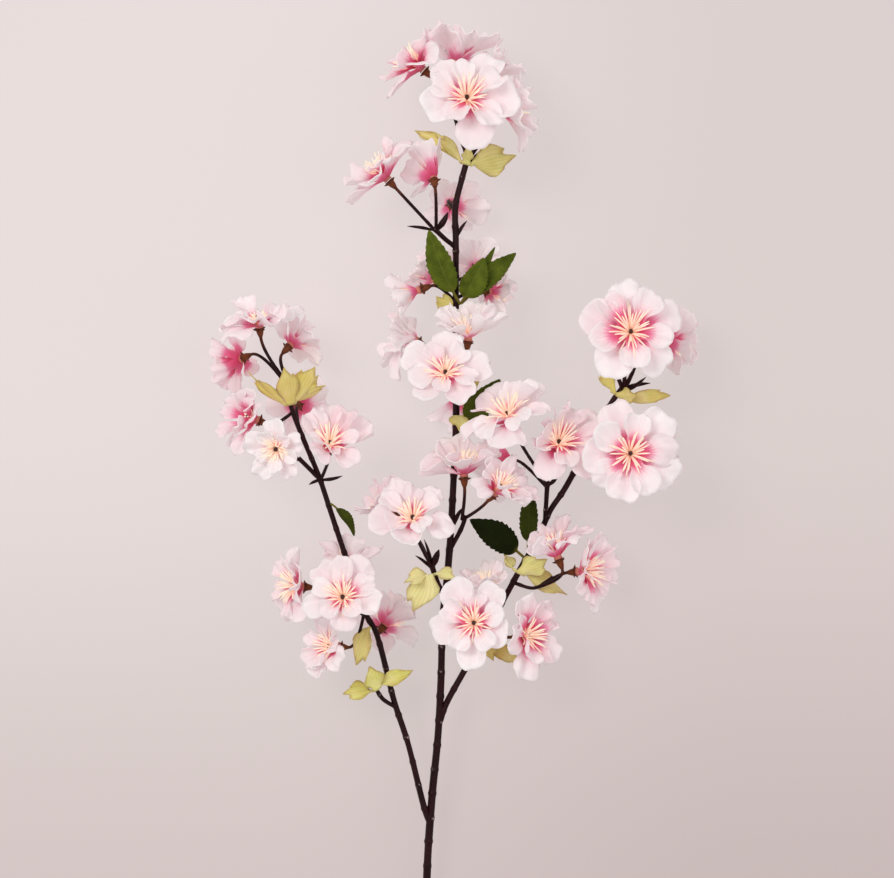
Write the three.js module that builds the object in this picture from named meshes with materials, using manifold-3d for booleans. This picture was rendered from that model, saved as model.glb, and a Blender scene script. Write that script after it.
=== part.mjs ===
// An artificial cherry blossom sprig: a moulded plastic stem with two side branches, blooms of
// fabric petals pushed on its pegs, yellow-green fabric bracts and dark-green fabric leaves.
// Millimetres, +Z up. The sprig lies on a surface at Z = 0 with its tip towards +Y. Points are
// measured from the cut end of the stem; the finished group is moved to the middle of its box.

import * as THREE from "three";
import { mergeVertices } from "three/addons/utils/BufferGeometryUtils.js";
import Module from "manifold-3d";

const wasm = await Module();
wasm.setup();

// ---- Driving sizes ----

const SHEET = 0.34; // half the thickness of a petal, bract or leaf
const SEAT_GAP = 0.3; // between a bloom and the calyx that carries it
const CLEARANCE = 0.3; // between the surfaces of neighbouring pieces
const KNOT_SPACING = 30; // from one ring of the plastic bark to the next
const KNOT_SWELL = 1.16;
const CALYX_LENGTH = 5.2;
const CALYX_RIM = 2.5;
const PEG_RADIUS = 0.8;
const PEG_PULL = 0.28; // how far a peg runs straight behind its calyx, as a share of its reach
const JOIN_TOLERANCE = 0.05;
const PETAL_TOLERANCE = 0.04;
const STALK_HALF = 0.65; // half the width of a leaf's stalk
const CUFF_FLARE = 1.2;
const CUFF_RISE = 1.4;

const PETALS = 5;
const HUB_RADIUS = 1.7;
const HUB_HEIGHT = 3.3;
const MIDDLE_TOP = 2.4; // of the lower layer, at the centre
const MIDDLE_UNDER = 1.2; // of the upper layer, at the centre
const STAMEN_LENGTH = 9;
const STAMEN_LEAN = 40;
// Each layer is one die-cut sheet. reach and notch are measured over the petal from the centre;
// throat and tip are the slopes of the petal there.
const LOWER_LAYER = { reach: 24, notch: 6.4, throat: 30, tip: 0, base: 0, turn: 0 };
const UPPER_LAYER = { reach: 20, notch: 6, throat: 41, tip: 12, base: 2.0, turn: 36 };
const PETAL_SPREAD = 9; // how much a petal opens more or less than its neighbours, in degrees
const PETAL_WIDE = { along: 0.68, half: 32, lift: 1.5 };
const PETAL_END = { along: 0.97, half: 15, lift: 0.6 };
const PETAL_WAVE = 0.7;

const COLOURS = {
  stem: 0x2e171b,
  petal: 0xf5e3e7,
  bract: 0xc4c35c,
  leaf: 0x386120,
};

// ---- Layout ----

// Stems: points along the middle, and the radius at the start and the end.
const STEMS = {
  main: {
    route: [
      [0, 0, 2.5], [0, 60, 8], [0.5, 122, 14], [3, 160, 18], [6, 191, 20.5], [7.5, 218.5, 23.5],
      [8.5, 252, 26.5], [10.5, 269.5, 27.5], [12.5, 295, 29.5], [14, 323, 31], [15, 342, 32],
      [15, 408, 33], [15, 441, 33.5], [14.8, 458, 33.5], [17.5, 470, 34], [21.5, 484.5, 34.5],
    ],
    radii: [2.1, 1.5],
    sides: 6,
  },
  left: {
    route: [
      [2, 146, 16.5], [-0.3, 152, 18], [-9.5, 188.5, 22], [-16, 208.5, 24], [-25.5, 244.5, 27],
      [-30, 252.5, 28], [-43, 290, 31], [-51.5, 316, 32], [-53.5, 322, 32], [-68.3, 360, 33],
      [-68.4, 368, 33],
    ],
    radii: [1.5, 1.25],
    sides: 5,
  },
  right: {
    route: [
      [7.3, 199, 21.7], [9.5, 206, 22.5], [20.5, 226.5, 24.5], [40.5, 263, 28], [47.5, 276, 29],
      [56.5, 292, 30.5], [62.5, 305.5, 31.5], [69.5, 316, 32], [83.5, 342, 33], [94, 361, 33.5],
      [98.5, 367, 33.5],
    ],
    radii: [1.5, 1.4],
    sides: 5,
  },
};

const SPURS = {
  upperPick: { route: [[14.8, 438, 33.5], [10, 441.5, 35.5], [4, 447, 37.5]], radii: [1.1, 1.2] },
  midSpur: { route: [[12.8, 287, 29], [18, 297, 31], [20, 303, 32]], radii: [1.1, 1.1] },
  leftMidPick: { route: [[9.5, 261, 27], [5.5, 270, 29.5], [3, 277.5, 31]], radii: [1.1, 1.4] },
  leftSpur: { route: [[-54, 322, 32], [-59, 327, 33], [-64, 332, 34]], radii: [1.1, 1.1] },
  lowLeftSpur: { route: [[-15.5, 206, 24], [-22, 210.5, 26.5], [-26.5, 218, 29]], radii: [1, 1.1] },
  rightSpur: { route: [[59.8, 298.5, 31], [60.5, 311, 32.5], [61, 320, 34]], radii: [1.1, 1.3] },
  lowRightPick: { route: [[44, 269, 28.5], [54.5, 266.5, 31], [64, 272, 31.5]], radii: [0.9, 0.9] },
};

// Dark scales and closed buds of the bark: foot, tip and largest radius.
const SCALES = [
  { foot: [4, 446, 37.5], tip: [-9.5, 448, 38.5], radius: 0.9 },
  { foot: [5, 446, 37.5], tip: [11, 455, 40], radius: 1.7 },
  { foot: [15, 442, 33.5], tip: [20.5, 451, 35.5], radius: 1.0 },
  { foot: [20, 480, 34.5], tip: [30, 494, 38], radius: 1.2 },
  { foot: [20, 479, 34.5], tip: [31.5, 489, 40], radius: 1.1 },
  { foot: [14, 298, 29.5], tip: [18.5, 307, 32], radius: 1.2 },
  { foot: [3, 277, 31], tip: [6.5, 286, 34], radius: 1.9 },
  { foot: [3, 276, 31], tip: [-5.5, 283, 32.5], radius: 0.9 },
  { foot: [3, 277, 31], tip: [-1, 291, 31], radius: 0.9 },
  { foot: [-53, 321, 32], tip: [-42, 323, 34.5], radius: 1 },
  { foot: [-53, 321, 32], tip: [-59, 318.5, 31], radius: 0.9 },
  { foot: [61, 318, 34], tip: [66.5, 324, 36], radius: 1.1 },
  { foot: [98, 366, 33.5], tip: [112.5, 369.5, 37], radius: 1.2 },
  { foot: [-68, 364, 33], tip: [-60, 372, 35], radius: 1 },
];

// Blooms: the middle of the petals, the way the bloom faces, and where its peg leaves the stem.
// size is a share of the full petal length, cup closes the petals, in degrees, and turn, where it is
// given, is the way the first petal points, in degrees.
const BLOOMS = [
  {
    name: "top_front", at: [20, 507.5, 60], face: [0.05, 0.4, 0.9],
    root: [21.5, 484, 34.5], size: 1.17, turn: 63,
  },
  {
    name: "top_left", at: [-1.5, 526, 42], face: [-0.7, 0.6, 0.1],
    root: [20.5, 482, 34.5], size: 1.05, cup: -4,
  },
  {
    name: "top_tip", at: [15.5, 530, 33], face: [-0.05, 0.95, -0.1],
    root: [21.5, 484, 34.5], size: 1.15, cup: -2,
  },
  {
    name: "top_right", at: [31, 523.5, 33], face: [0.75, 0.55, 0.1],
    root: [21.5, 484, 34.5], size: 0.9, cup: 2,
  },
  {
    name: "top_low_right", at: [37.5, 504, 44], face: [0.9, 0.2, 0.2],
    root: [21, 483, 34.5], size: 0.95, cup: 6,
  },
  {
    name: "long_peg", at: [-19, 471, 42], face: [-0.65, 0.7, 0.1],
    root: [4, 446.5, 37.5], size: 1.0, cup: -4,
  },
  {
    name: "upper_left", at: [4, 471, 45], face: [-0.1, 0.75, -0.55],
    root: [5, 446, 37], size: 1.0, cup: -4,
  },
  { name: "upper_back", at: [13, 460, 18], face: [0.3, -0.25, -0.9], root: [14.8, 456, 33.5], size: 0.8 },
  {
    name: "crown_left", at: [5, 421.5, 27], face: [-0.92, 0.35, 0.15],
    root: [15, 413, 33], size: 0.9, cup: 2,
  },
  {
    name: "crown_low_left", at: [-3, 416.5, 34], face: [-0.85, -0.3, -0.1],
    root: [15, 410, 33], size: 0.7, cup: 15,
  },
  {
    name: "crown_right", at: [31, 416, 26], face: [0.75, -0.1, -0.6],
    root: [15, 412, 33], size: 0.6, cup: 5,
  },
  { name: "crown_back", at: [25, 428, 16], face: [0.15, 0.35, -0.9], root: [15, 421, 33], size: 0.75 },
  {
    name: "centre_left", at: [-5, 391, 31], face: [-0.7, 0.45, 0.1],
    root: [15, 384, 33], size: 1.0, cup: -4,
  },
  {
    name: "centre_front", at: [10, 372.5, 54], face: [-0.05, 0.4, 0.9],
    root: [15, 366, 32.7], size: 0.95, turn: 13,
  },
  {
    name: "centre_top", at: [21, 391, 46], face: [0.1, 0.93, 0.25],
    root: [15, 386, 33], size: 0.9, cup: 12,
  },
  { name: "centre_back", at: [18, 364, 16], face: [0.15, -0.4, -0.9], root: [15, 358, 32.5], size: 0.9 },
  { name: "mid_top", at: [19, 323, 42], face: [-0.05, 0.97, 0.1], root: [18, 301, 31.5], size: 1.0 },
  {
    name: "mid_front", at: [34, 314.5, 51], face: [0.55, 0.65, 0.45],
    root: [20, 302, 32], size: 0.9, cup: 8,
  },
  {
    name: "mid_left_front", at: [-6, 299.5, 52], face: [-0.1, 0.65, 0.75],
    root: [3, 277, 31], size: 0.95, cup: 4, turn: 6,
  },
  { name: "mid_left", at: [-17, 304, 36], face: [-0.8, 0.5, 0.1], root: [3, 277, 31], size: 0.85, cup: 10 },
  {
    name: "inner_right", at: [42, 350, 56], face: [-0.35, 0.8, 0.45],
    root: [61, 319, 34], size: 1.1, cup: -4,
  },
  { name: "inner_back", at: [43, 330, 15], face: [-0.4, -0.1, -0.9], root: [60.8, 317, 33.5], size: 0.9 },
  {
    name: "inner_front", at: [65.5, 337, 45], face: [0.12, 0.6, 0.75],
    root: [61, 320, 34], size: 1.12, cup: 2,
  },
  {
    name: "right_front", at: [101, 393.5, 58], face: [0, 0.2, 0.98],
    root: [99, 367, 33.5], size: 1.25, turn: 22,
  },
  {
    name: "right_side", at: [120, 391, 28], face: [0.8, 0.1, -0.5],
    root: [100, 366, 33.5], size: 0.9, cup: 5,
  },
  {
    name: "right_low_front", at: [100.5, 334, 62], face: [0, 0.1, 1],
    root: [92, 357, 33], size: 1.18, turn: 42,
  },
  {
    name: "right_low_side", at: [112, 334, 30], face: [0.95, 0, -0.2],
    root: [91, 355, 33], size: 0.9, cup: 5,
  },
  {
    name: "low_right_up", at: [66, 282, 42], face: [-0.35, 0.9, 0.1],
    root: [54.5, 266.5, 31], size: 1.0, cup: 8,
  },
  {
    name: "low_right_side", at: [76, 275, 36], face: [0.8, 0.1, 0.4],
    root: [63, 271, 31.4], size: 1.0, cup: 2,
  },
  {
    name: "low_front", at: [24, 250, 54], face: [-0.05, 0.15, 0.98],
    root: [30, 243, 26.2], size: 1.02, turn: 51,
  },
  {
    name: "low_right_front", at: [47, 243, 44], face: [0.7, 0.1, 0.6],
    root: [31, 245, 26.3], size: 0.95, cup: 4,
  },
  { name: "low_middle", at: [31, 264, 32], face: [-0.1, 0.9, 0.3], root: [34, 251, 27], size: 0.8, cup: 8 },
  {
    name: "left_top", at: [-83, 397.5, 46], face: [-0.1, 0.88, 0.35],
    root: [-68, 367.5, 33], size: 1.0, cup: -8,
  },
  {
    name: "left_side", at: [-92.5, 382, 31], face: [-0.7, -0.3, -0.5],
    root: [-68.2, 366, 33], size: 0.78, cup: 2,
  },
  {
    name: "left_inner", at: [-68.5, 388.5, 31], face: [0.6, 0.65, -0.35],
    root: [-68, 367.5, 33], size: 0.78, cup: 4,
  },
  {
    name: "left_low_side", at: [-84.5, 351, 38], face: [-0.8, 0.35, 0.35],
    root: [-67, 355, 33], size: 0.9, cup: 4,
  },
  {
    name: "left_low_front", at: [-73.5, 337.5, 54], face: [-0.1, -0.2, 0.95],
    root: [-64, 331, 34], size: 0.72, cup: 5,
  },
  {
    name: "left_middle", at: [-48, 336.5, 50], face: [0.05, 0.6, 0.75],
    root: [-53, 321, 32], size: 1.0, cup: 4,
  },
  { name: "left_back", at: [-65, 358.5, 15], face: [0.1, 0.1, -0.95], root: [-64, 348, 33], size: 0.72 },
  {
    name: "low_left_side", at: [-62, 267.5, 37], face: [-0.85, 0.1, 0.35],
    root: [-33, 261, 28.7], size: 0.9, cup: -4,
  },
  {
    name: "low_left_front", at: [-40.5, 262, 54], face: [-0.1, 0.3, 0.93],
    root: [-30, 252, 28], size: 0.98, cup: 4, turn: 58,
  },
  {
    name: "low_left_down", at: [-44, 237.5, 38], face: [-0.75, 0.1, 0.5],
    root: [-31, 256, 28.3], size: 0.85, cup: 8,
  },
  {
    name: "low_left_back", at: [-22, 246, 18], face: [0.35, 0.5, -0.75],
    root: [-25.5, 243, 27], size: 0.85,
  },
  {
    name: "low_left_top", at: [-39.5, 276, 26], face: [0, 0.8, -0.45],
    root: [-33, 261, 28.7], size: 0.78, cup: 2,
  },
];

// Blooms that face away from the front have one layer of petals.
const SINGLE_BLOOMS = [
  "upper_back", "crown_back", "crown_right", "crown_low_left", "centre_back",
  "inner_back", "left_back", "low_left_back", "low_left_top", "low_middle",
];

// Yellow-green bracts: the stem that the cuff goes round, how far up it sits, and the lobes.
const BRACTS = [
  {
    name: "top", stem: "main", y: 479,
    lobes: [
      { tip: [4.5, 495, 40], width: 6 },
      { tip: [46, 484, 42], width: 17 },
      { tip: [22, 489, 47], width: 6 },
      { tip: [-6, 499, 29], width: 7 },
    ],
  },
  {
    name: "upper", stem: "main", y: 403,
    lobes: [
      { tip: [5, 414, 40], width: 8 },
      { tip: [34, 408, 39], width: 10 },
    ],
  },
  {
    name: "centre", stem: "main", y: 352,
    lobes: [
      { tip: [16.5, 346, 44], width: 9 },
      { tip: [31.5, 381, 32], width: 6 },
    ],
  },
  {
    name: "left", stem: "left", y: 358.5,
    lobes: [
      { tip: [-89, 376, 39], width: 6 },
      { tip: [-71, 379, 44], width: 11 },
      { tip: [-56, 379, 39], width: 12 },
      { tip: [-50.5, 369, 35], width: 7 },
    ],
  },
  {
    name: "right", stem: "right", y: 363,
    lobes: [
      { tip: [87, 376, 38], width: 7 },
      { tip: [106, 363, 42], width: 8 },
      { tip: [123, 364, 38], width: 7 },
    ],
  },
  {
    name: "middle", stem: "leftMidPick", y: 273.5,
    lobes: [
      { tip: [-7, 254.5, 35], width: 15 },
      { tip: [-11, 270, 37], width: 9 },
      { tip: [15, 272, 38], width: 7 },
    ],
  },
  {
    name: "low_left", stem: "lowLeftSpur", y: 215.5,
    lobes: [
      { tip: [-42.5, 213.5, 31], width: 10 },
      { tip: [-29, 228, 35], width: 11 },
      { tip: [-7, 226, 31], width: 8 },
    ],
  },
  {
    name: "hanging", stem: "left", y: 247,
    lobes: [
      { tip: [-35, 227, 39], width: 10 },
    ],
  },
  {
    name: "low_right", stem: "right", y: 274,
    lobes: [
      { tip: [39.5, 284.5, 30], width: 6 },
      { tip: [61, 281, 38], width: 12 },
      { tip: [72, 262, 21], width: 11 },
    ],
  },
  {
    name: "lowest", stem: "right", y: 238,
    lobes: [
      { tip: [34, 231, 34], width: 7 },
      { tip: [49, 229, 32], width: 8 },
    ],
  },
];

// Dark-green leaves with toothed edges: the foot, and each blade's tip, width and the way its upper
// face looks.
const LEAVES = [
  {
    name: "upper_spray", foot: [17.2, 409, 35.3],
    blades: [
      { tip: [1.5, 445.5, 45], width: 14, face: [-0.2, 0.1, 1] },
      { tip: [29, 431.5, 46], width: 14.5, face: [0.3, 0, 1] },
      { tip: [45, 434.5, 39], width: 11, face: [0, 0.2, 1] },
      { tip: [34.5, 437.5, 41], width: 5.5, face: [0.3, 0, 1] },
    ],
  },
  {
    name: "inner", foot: [17.3, 347, 33.2],
    blades: [{ tip: [40.5, 368.5, 43], width: 14, face: [0.3, -0.1, 1] }],
  },
  {
    name: "right_wide", foot: [50.3, 281, 31.5],
    blades: [{ tip: [22, 301, 37], width: 15, face: [0, 0.2, 1] }],
  },
  {
    name: "right_tall", foot: [51.2, 284, 32],
    blades: [{ tip: [52.5, 317.5, 39], width: 10, face: [-0.2, 0, 1] }],
  },
  {
    name: "left_edge", foot: [-48, 309, 33],
    blades: [{ tip: [-36, 293, 38], width: 8, face: [0.7, 0.4, 0.6] }],
  },
];

// ---- Small helpers ----

const vector = (list) => new THREE.Vector3(...list);
const radians = THREE.MathUtils.degToRad;

// A repeatable draw between -1 and 1 for a whole number.
function draw(seed) {
  const wave = Math.sin(seed * 12.9898) * 43758.5453;
  return 2 * (wave - Math.floor(wave)) - 1;
}

// Two directions at right angles to an axis and to each other.
function sideways(axis) {
  const upright = Math.abs(axis.z) > 0.9 ? new THREE.Vector3(0, 1, 0) : new THREE.Vector3(0, 0, 1);
  const first = new THREE.Vector3().crossVectors(upright, axis).normalize();
  const second = new THREE.Vector3().crossVectors(axis, first);
  return [first, second];
}

function geometryOf(points, faces) {
  const positions = points.flatMap((point) => point.toArray());
  const geometry = new THREE.BufferGeometry();
  geometry.setAttribute("position", new THREE.Float32BufferAttribute(positions, 3));
  geometry.setIndex(faces.flat());
  return geometry;
}

// ---- Booleans ----

function manifoldOf(geometry) {
  const bare = geometry.clone();
  bare.deleteAttribute("normal");
  bare.deleteAttribute("uv");
  const merged = mergeVertices(bare, 1e-3);
  const corners = [];
  for (let i = 0; i < merged.index.count; i += 3) {
    const [a, b, c] = merged.index.array.slice(i, i + 3);
    if (a !== b && b !== c && c !== a) corners.push(a, b, c);
  }
  const made = new wasm.Manifold(
    new wasm.Mesh({
      numProp: 3,
      vertProperties: merged.attributes.position.array,
      triVerts: new Uint32Array(corners),
    }),
  );
  return made;
}

function geometryFrom(manifold) {
  const mesh = manifold.getMesh();
  const geometry = new THREE.BufferGeometry();
  geometry.setAttribute("position", new THREE.BufferAttribute(mesh.vertProperties, 3));
  geometry.setIndex(new THREE.BufferAttribute(mesh.triVerts, 1));
  return geometry;
}

// ---- Stems, pegs and scales ----

// A lathe profile of [distance, radius] pairs, bent along a curve.
function bentLathe(curve, profile, sides) {
  const length = profile[profile.length - 1][0];
  const outline = profile.map(([distance, radius]) => new THREE.Vector2(radius, distance));
  outline.unshift(new THREE.Vector2(0, profile[0][0]));
  outline.push(new THREE.Vector2(0, length));
  const lathe = new THREE.LatheGeometry(outline, sides);
  const whole = new THREE.Vector3().subVectors(curve.getPoint(1), curve.getPoint(0)).normalize();
  const reference = sideways(whole)[0];
  const position = lathe.attributes.position;
  for (let i = 0; i < position.count; i++) {
    const share = Math.min(1, Math.max(0, position.getY(i) / length));
    const centre = curve.getPointAt(share);
    const tangent = curve.getTangentAt(share);
    const second = new THREE.Vector3().crossVectors(tangent, reference).normalize();
    const first = new THREE.Vector3().crossVectors(second, tangent);
    centre.addScaledVector(first, position.getZ(i)).addScaledVector(second, position.getX(i));
    position.setXYZ(i, centre.x, centre.y, centre.z);
  }
  return manifoldOf(lathe);
}

function knottedProfile(length, [startRadius, endRadius], spacing) {
  const steps = 2 * Math.max(1, Math.round(length / spacing));
  const profile = [];
  for (let i = 0; i <= steps; i++) {
    const share = i / steps;
    const plain = THREE.MathUtils.lerp(startRadius, endRadius, share);
    profile.push([share * length, i % 2 ? plain * KNOT_SWELL : plain]);
  }
  return profile;
}

const routeCurve = (route) => new THREE.CatmullRomCurve3(route.map(vector), false, "centripetal");

function knottedStem({ route, radii, sides = 5 }) {
  const curve = routeCurve(route);
  const length = curve.getLength();
  const solid = bentLathe(curve, knottedProfile(length, radii, KNOT_SPACING), sides);
  return { solid, rods: rodsAlong(curve, length, Math.max(...radii) * KNOT_SWELL) };
}

// Straight stand-ins for a curved tube, used to keep the petals clear of it.
function rodsAlong(curve, length, radius) {
  const count = Math.max(1, Math.round(length / 12));
  const rods = [];
  for (let i = 0; i < count; i++) {
    rods.push({ points: [curve.getPointAt(i / count), curve.getPointAt((i + 1) / count)], radius });
  }
  return rods;
}

function scaleSolid({ foot, tip, radius }) {
  const line = new THREE.LineCurve3(vector(foot), vector(tip));
  const length = line.getLength();
  const profile = [[0, 0.5 * radius], [0.4 * length, radius], [0.75 * length, 0.65 * radius], [length, 0.12]];
  return { solid: bentLathe(line, profile, 4), rods: [{ points: [line.v1, line.v2], radius }] };
}

// The peg that carries a bloom: a slim stalk that ends in a flared calyx with five corners.
function pegSolid(bloom) {
  const seat = bloom.centre.clone().addScaledVector(bloom.axis, -(SHEET + SEAT_GAP));
  const neck = seat.clone().addScaledVector(bloom.axis, -CALYX_LENGTH);
  const root = vector(bloom.root);
  const pull = PEG_PULL * root.distanceTo(neck);
  const bend = neck.clone().addScaledVector(bloom.axis, -pull);
  const stalk = new THREE.QuadraticBezierCurve3(root, bend, neck);
  const curve = new THREE.CurvePath();
  curve.add(stalk);
  curve.add(new THREE.LineCurve3(neck, seat));
  const stalkLength = stalk.getLength();
  const length = stalkLength + CALYX_LENGTH;
  const profile = [
    [0, PEG_RADIUS * 1.15],
    [stalkLength, PEG_RADIUS],
    [length, CALYX_RIM],
  ];
  const rods = rodsAlong(stalk, stalkLength, PEG_RADIUS * 1.15);
  rods.push({ points: [neck, seat], radius: 0.8 * CALYX_RIM });
  return { solid: bentLathe(curve, profile, 5), rods, bloom };
}

// ---- Thin sheets ----

// Doubles a mid-surface into a top and a bottom face, split alike, and closes every open edge
// that keepOpen doesn't name.
function thicken({ points, faces }, keepOpen = () => false) {
  const normals = points.map(() => new THREE.Vector3());
  const edges = new Map();
  for (const [a, b, c] of faces) {
    const side = new THREE.Vector3().subVectors(points[b], points[a]);
    const normal = new THREE.Vector3().subVectors(points[c], points[a]);
    normal.crossVectors(side, normal);
    for (const corner of [a, b, c]) normals[corner].add(normal);
    for (const [from, to] of [[a, b], [b, c], [c, a]]) {
      if (edges.has(`${to},${from}`)) edges.delete(`${to},${from}`);
      else edges.set(`${from},${to}`, [from, to]);
    }
  }
  const count = points.length;
  const solidPoints = [];
  for (const sign of [1, -1]) {
    points.forEach((point, i) => {
      solidPoints.push(point.clone().addScaledVector(normals[i].clone().normalize(), sign * SHEET));
    });
  }
  const solidFaces = [];
  for (const [a, b, c] of faces) {
    solidFaces.push([a, b, c], [c + count, b + count, a + count]);
  }
  for (const [from, to] of edges.values()) {
    if (keepOpen(from, to)) continue;
    solidFaces.push([to, from, from + count], [to, from + count, to + count]);
  }
  return { points: solidPoints, faces: solidFaces, count };
}

// ---- Blooms ----

// A point of a petal in the bloom's own frame, where the bloom faces +Z.
function petalPoint(layer, cup, along, degrees, lift) {
  const throat = radians(layer.throat + cup);
  const curl = radians(layer.throat - layer.tip) / layer.reach;
  const slope = throat - curl * along;
  const radius = (Math.sin(throat) - Math.sin(slope)) / curl;
  const height = (Math.cos(slope) - Math.cos(throat)) / curl;
  const angle = radians(degrees + layer.turn);
  return new THREE.Vector3(
    radius * Math.cos(angle),
    radius * Math.sin(angle),
    layer.base + height + lift,
  );
}

// The mid-surface of one layer: the notches, then for each petal its two wide corners and its two end
// corners.
function layerSheet(layer, bloom, seed) {
  const points = [];
  const faces = [];
  const step = 360 / PETALS;
  for (let i = 0; i < PETALS; i++) {
    points.push(petalPoint(layer, bloom.cup, layer.notch, (i + 0.5) * step, 0));
  }
  for (let i = 0; i < PETALS; i++) {
    const petal = seed + 11 * i;
    const cup = bloom.cup + PETAL_SPREAD * draw(petal);
    const place = (row, side, n) => petalPoint(
      layer,
      cup,
      row.along * layer.reach * bloom.size,
      i * step + side * row.half,
      Math.abs(side) * row.lift + PETAL_WAVE * draw(petal + n),
    );
    const left = points.length;
    const [right, endLeft, endRight] = [left + 1, left + 2, left + 3];
    points.push(place(PETAL_WIDE, -1, 1), place(PETAL_WIDE, 1, 3));
    points.push(place(PETAL_END, -1, 4), place(PETAL_END, 1, 5));
    const notchLeft = (i + PETALS - 1) % PETALS;
    const notchRight = i;
    faces.push(
      [notchLeft, left, notchRight],
      [left, right, notchRight],
      [left, endLeft, right],
      [endLeft, endRight, right],
    );
  }
  return { points, faces };
}

// The foot and the top of the lower layer's middle, the underside of the upper layer's, the hub's
// ring and top, and the stamens' tips, in the bloom's own frame.
function hubPoints(bloom) {
  const points = [-SHEET, MIDDLE_TOP, MIDDLE_UNDER].map((height) => new THREE.Vector3(0, 0, height));
  const angleOf = (i) => radians((i + 0.5) * 72 + UPPER_LAYER.turn);
  for (let i = 0; i < PETALS; i++) {
    const [x, y] = [Math.cos(angleOf(i)), Math.sin(angleOf(i))];
    points.push(new THREE.Vector3(HUB_RADIUS * x, HUB_RADIUS * y, HUB_HEIGHT));
  }
  points.push(new THREE.Vector3(0, 0, HUB_HEIGHT + 1));
  const lean = radians(STAMEN_LEAN - bloom.cup);
  for (let i = 0; i < PETALS; i++) {
    const angle = angleOf(i) + radians(36);
    const out = 0.6 * HUB_RADIUS + STAMEN_LENGTH * Math.sin(lean);
    const up = HUB_HEIGHT + STAMEN_LENGTH * Math.cos(lean);
    points.push(new THREE.Vector3(out * Math.cos(angle), out * Math.sin(angle), up));
  }
  return points;
}

function newBloom(entry, index) {
  const axis = vector(entry.face).normalize();
  const bloom = { cup: 0, ...entry, axis, centre: vector(entry.at) };
  bloom.seed = 100 * (index + 1);
  bloom.layers = [layerSheet(LOWER_LAYER, bloom, bloom.seed)];
  if (!SINGLE_BLOOMS.includes(bloom.name)) bloom.layers.push(layerSheet(UPPER_LAYER, bloom, bloom.seed + 60));
  bloom.hub = hubPoints(bloom);
  const [first, second] = sideways(axis);
  const turned = new THREE.Matrix4()
    .makeBasis(first, second, axis)
    .multiply(new THREE.Matrix4().makeRotationZ(radians(entry.turn ?? 180 * draw(bloom.seed))))
    .setPosition(bloom.centre);
  bloom.points = [...bloom.layers.flatMap(({ points }) => points), ...bloom.hub];
  for (const point of bloom.points) point.applyMatrix4(turned);
  return bloom;
}

function solidOf({ points, faces }) {
  for (const point of points) point.z = Math.max(0, point.z);
  return manifoldOf(geometryOf(points, faces));
}

// A layer closed below its middle and, above it, filled or crowned with the hub and a spike for each
// bunch of stamens.
function layerSolid(sheet, under, crown) {
  const { points, faces, count } = thicken(sheet, (a, b) => a < PETALS && b < PETALS);
  const low = points.push(under, ...crown) - crown.length - 1;
  const next = (i) => (i + 1) % PETALS;
  const ring = (i) => low + 1 + i;
  const top = ring(PETALS);
  for (let i = 0; i < PETALS; i++) {
    faces.push([low, count + next(i), count + i]);
    if (crown.length === 1) {
      faces.push([low + 1, i, next(i)]);
      continue;
    }
    faces.push(
      [i, next(i), ring(i)],
      [next(i), ring(next(i)), ring(i)],
      [ring(i), ring(next(i)), top + 1 + i],
      [ring(next(i)), top, top + 1 + i],
      [top, ring(i), top + 1 + i],
    );
  }
  return solidOf({ points, faces });
}

function bloomGeometry({ layers: [lower, upper], hub }) {
  const [foot, middleTop, middleUnder, ...crown] = hub;
  if (!upper) return geometryFrom(layerSolid(lower, foot, crown));
  const whole = layerSolid(lower, foot, [middleTop]).add(layerSolid(upper, middleUnder, crown));
  return geometryFrom(whole.simplify(PETAL_TOLERANCE));
}

// ---- Keeping the petals clear ----

// Directions spread evenly over a sphere.
function spreadDirections(count) {
  const turn = Math.PI * (3 - Math.sqrt(5));
  return Array.from({ length: count }, (_, i) => {
    const z = 1 - (2 * i + 1) / count;
    const flat = Math.sqrt(1 - z * z);
    return new THREE.Vector3(flat * Math.cos(turn * i), flat * Math.sin(turn * i), z);
  });
}

const DIRECTIONS = spreadDirections(320);

function highest(points, direction) {
  return points.reduce((best, point) => Math.max(best, point.dot(direction)), -Infinity);
}

// Presses the far side of a bloom back along a direction, so that its reach from the bloom's middle
// shrinks to a share, and bends what is pressed forward, as a petal bends against its neighbour.
function press(bloom, direction, share, fold) {
  const forward = bloom.axis.clone().addScaledVector(direction, -bloom.axis.dot(direction));
  const steady = forward.length() > 0.25;
  forward.normalize();
  for (const point of bloom.points) {
    const arm = point.clone().sub(bloom.centre);
    const reach = arm.dot(direction);
    if (reach <= 0) continue;
    const before = arm.lengthSq();
    arm.addScaledVector(direction, reach * (share - 1));
    if (steady && fold > 0) {
      const level = arm.dot(forward);
      const lift = Math.sqrt(level * level + before - arm.lengthSq()) - level;
      arm.addScaledVector(forward, fold * lift * Math.min(1, reach / 8));
    }
    point.copy(bloom.centre).add(arm);
  }
}

// Parts two blooms at the plane that bends their petals least.
function partBlooms(a, b, fold) {
  const gap = CLEARANCE + 2 * SHEET;
  const apart = new THREE.Vector3().subVectors(b.centre, a.centre);
  let best = { share: -Infinity };
  for (const direction of DIRECTIONS) {
    const room = apart.dot(direction) - gap;
    if (room <= 0) continue;
    const reachA = highest(a.points, direction) - a.centre.dot(direction);
    const reachB = highest(b.points, direction.clone().negate()) + b.centre.dot(direction);
    const share = room / (reachA + reachB);
    if (share > best.share) best = { share, direction };
  }
  if (best.share >= 1 || !best.direction) return best.share;
  press(a, best.direction, best.share, fold);
  press(b, best.direction.clone().negate(), best.share, fold);
  return best.share;
}

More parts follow.
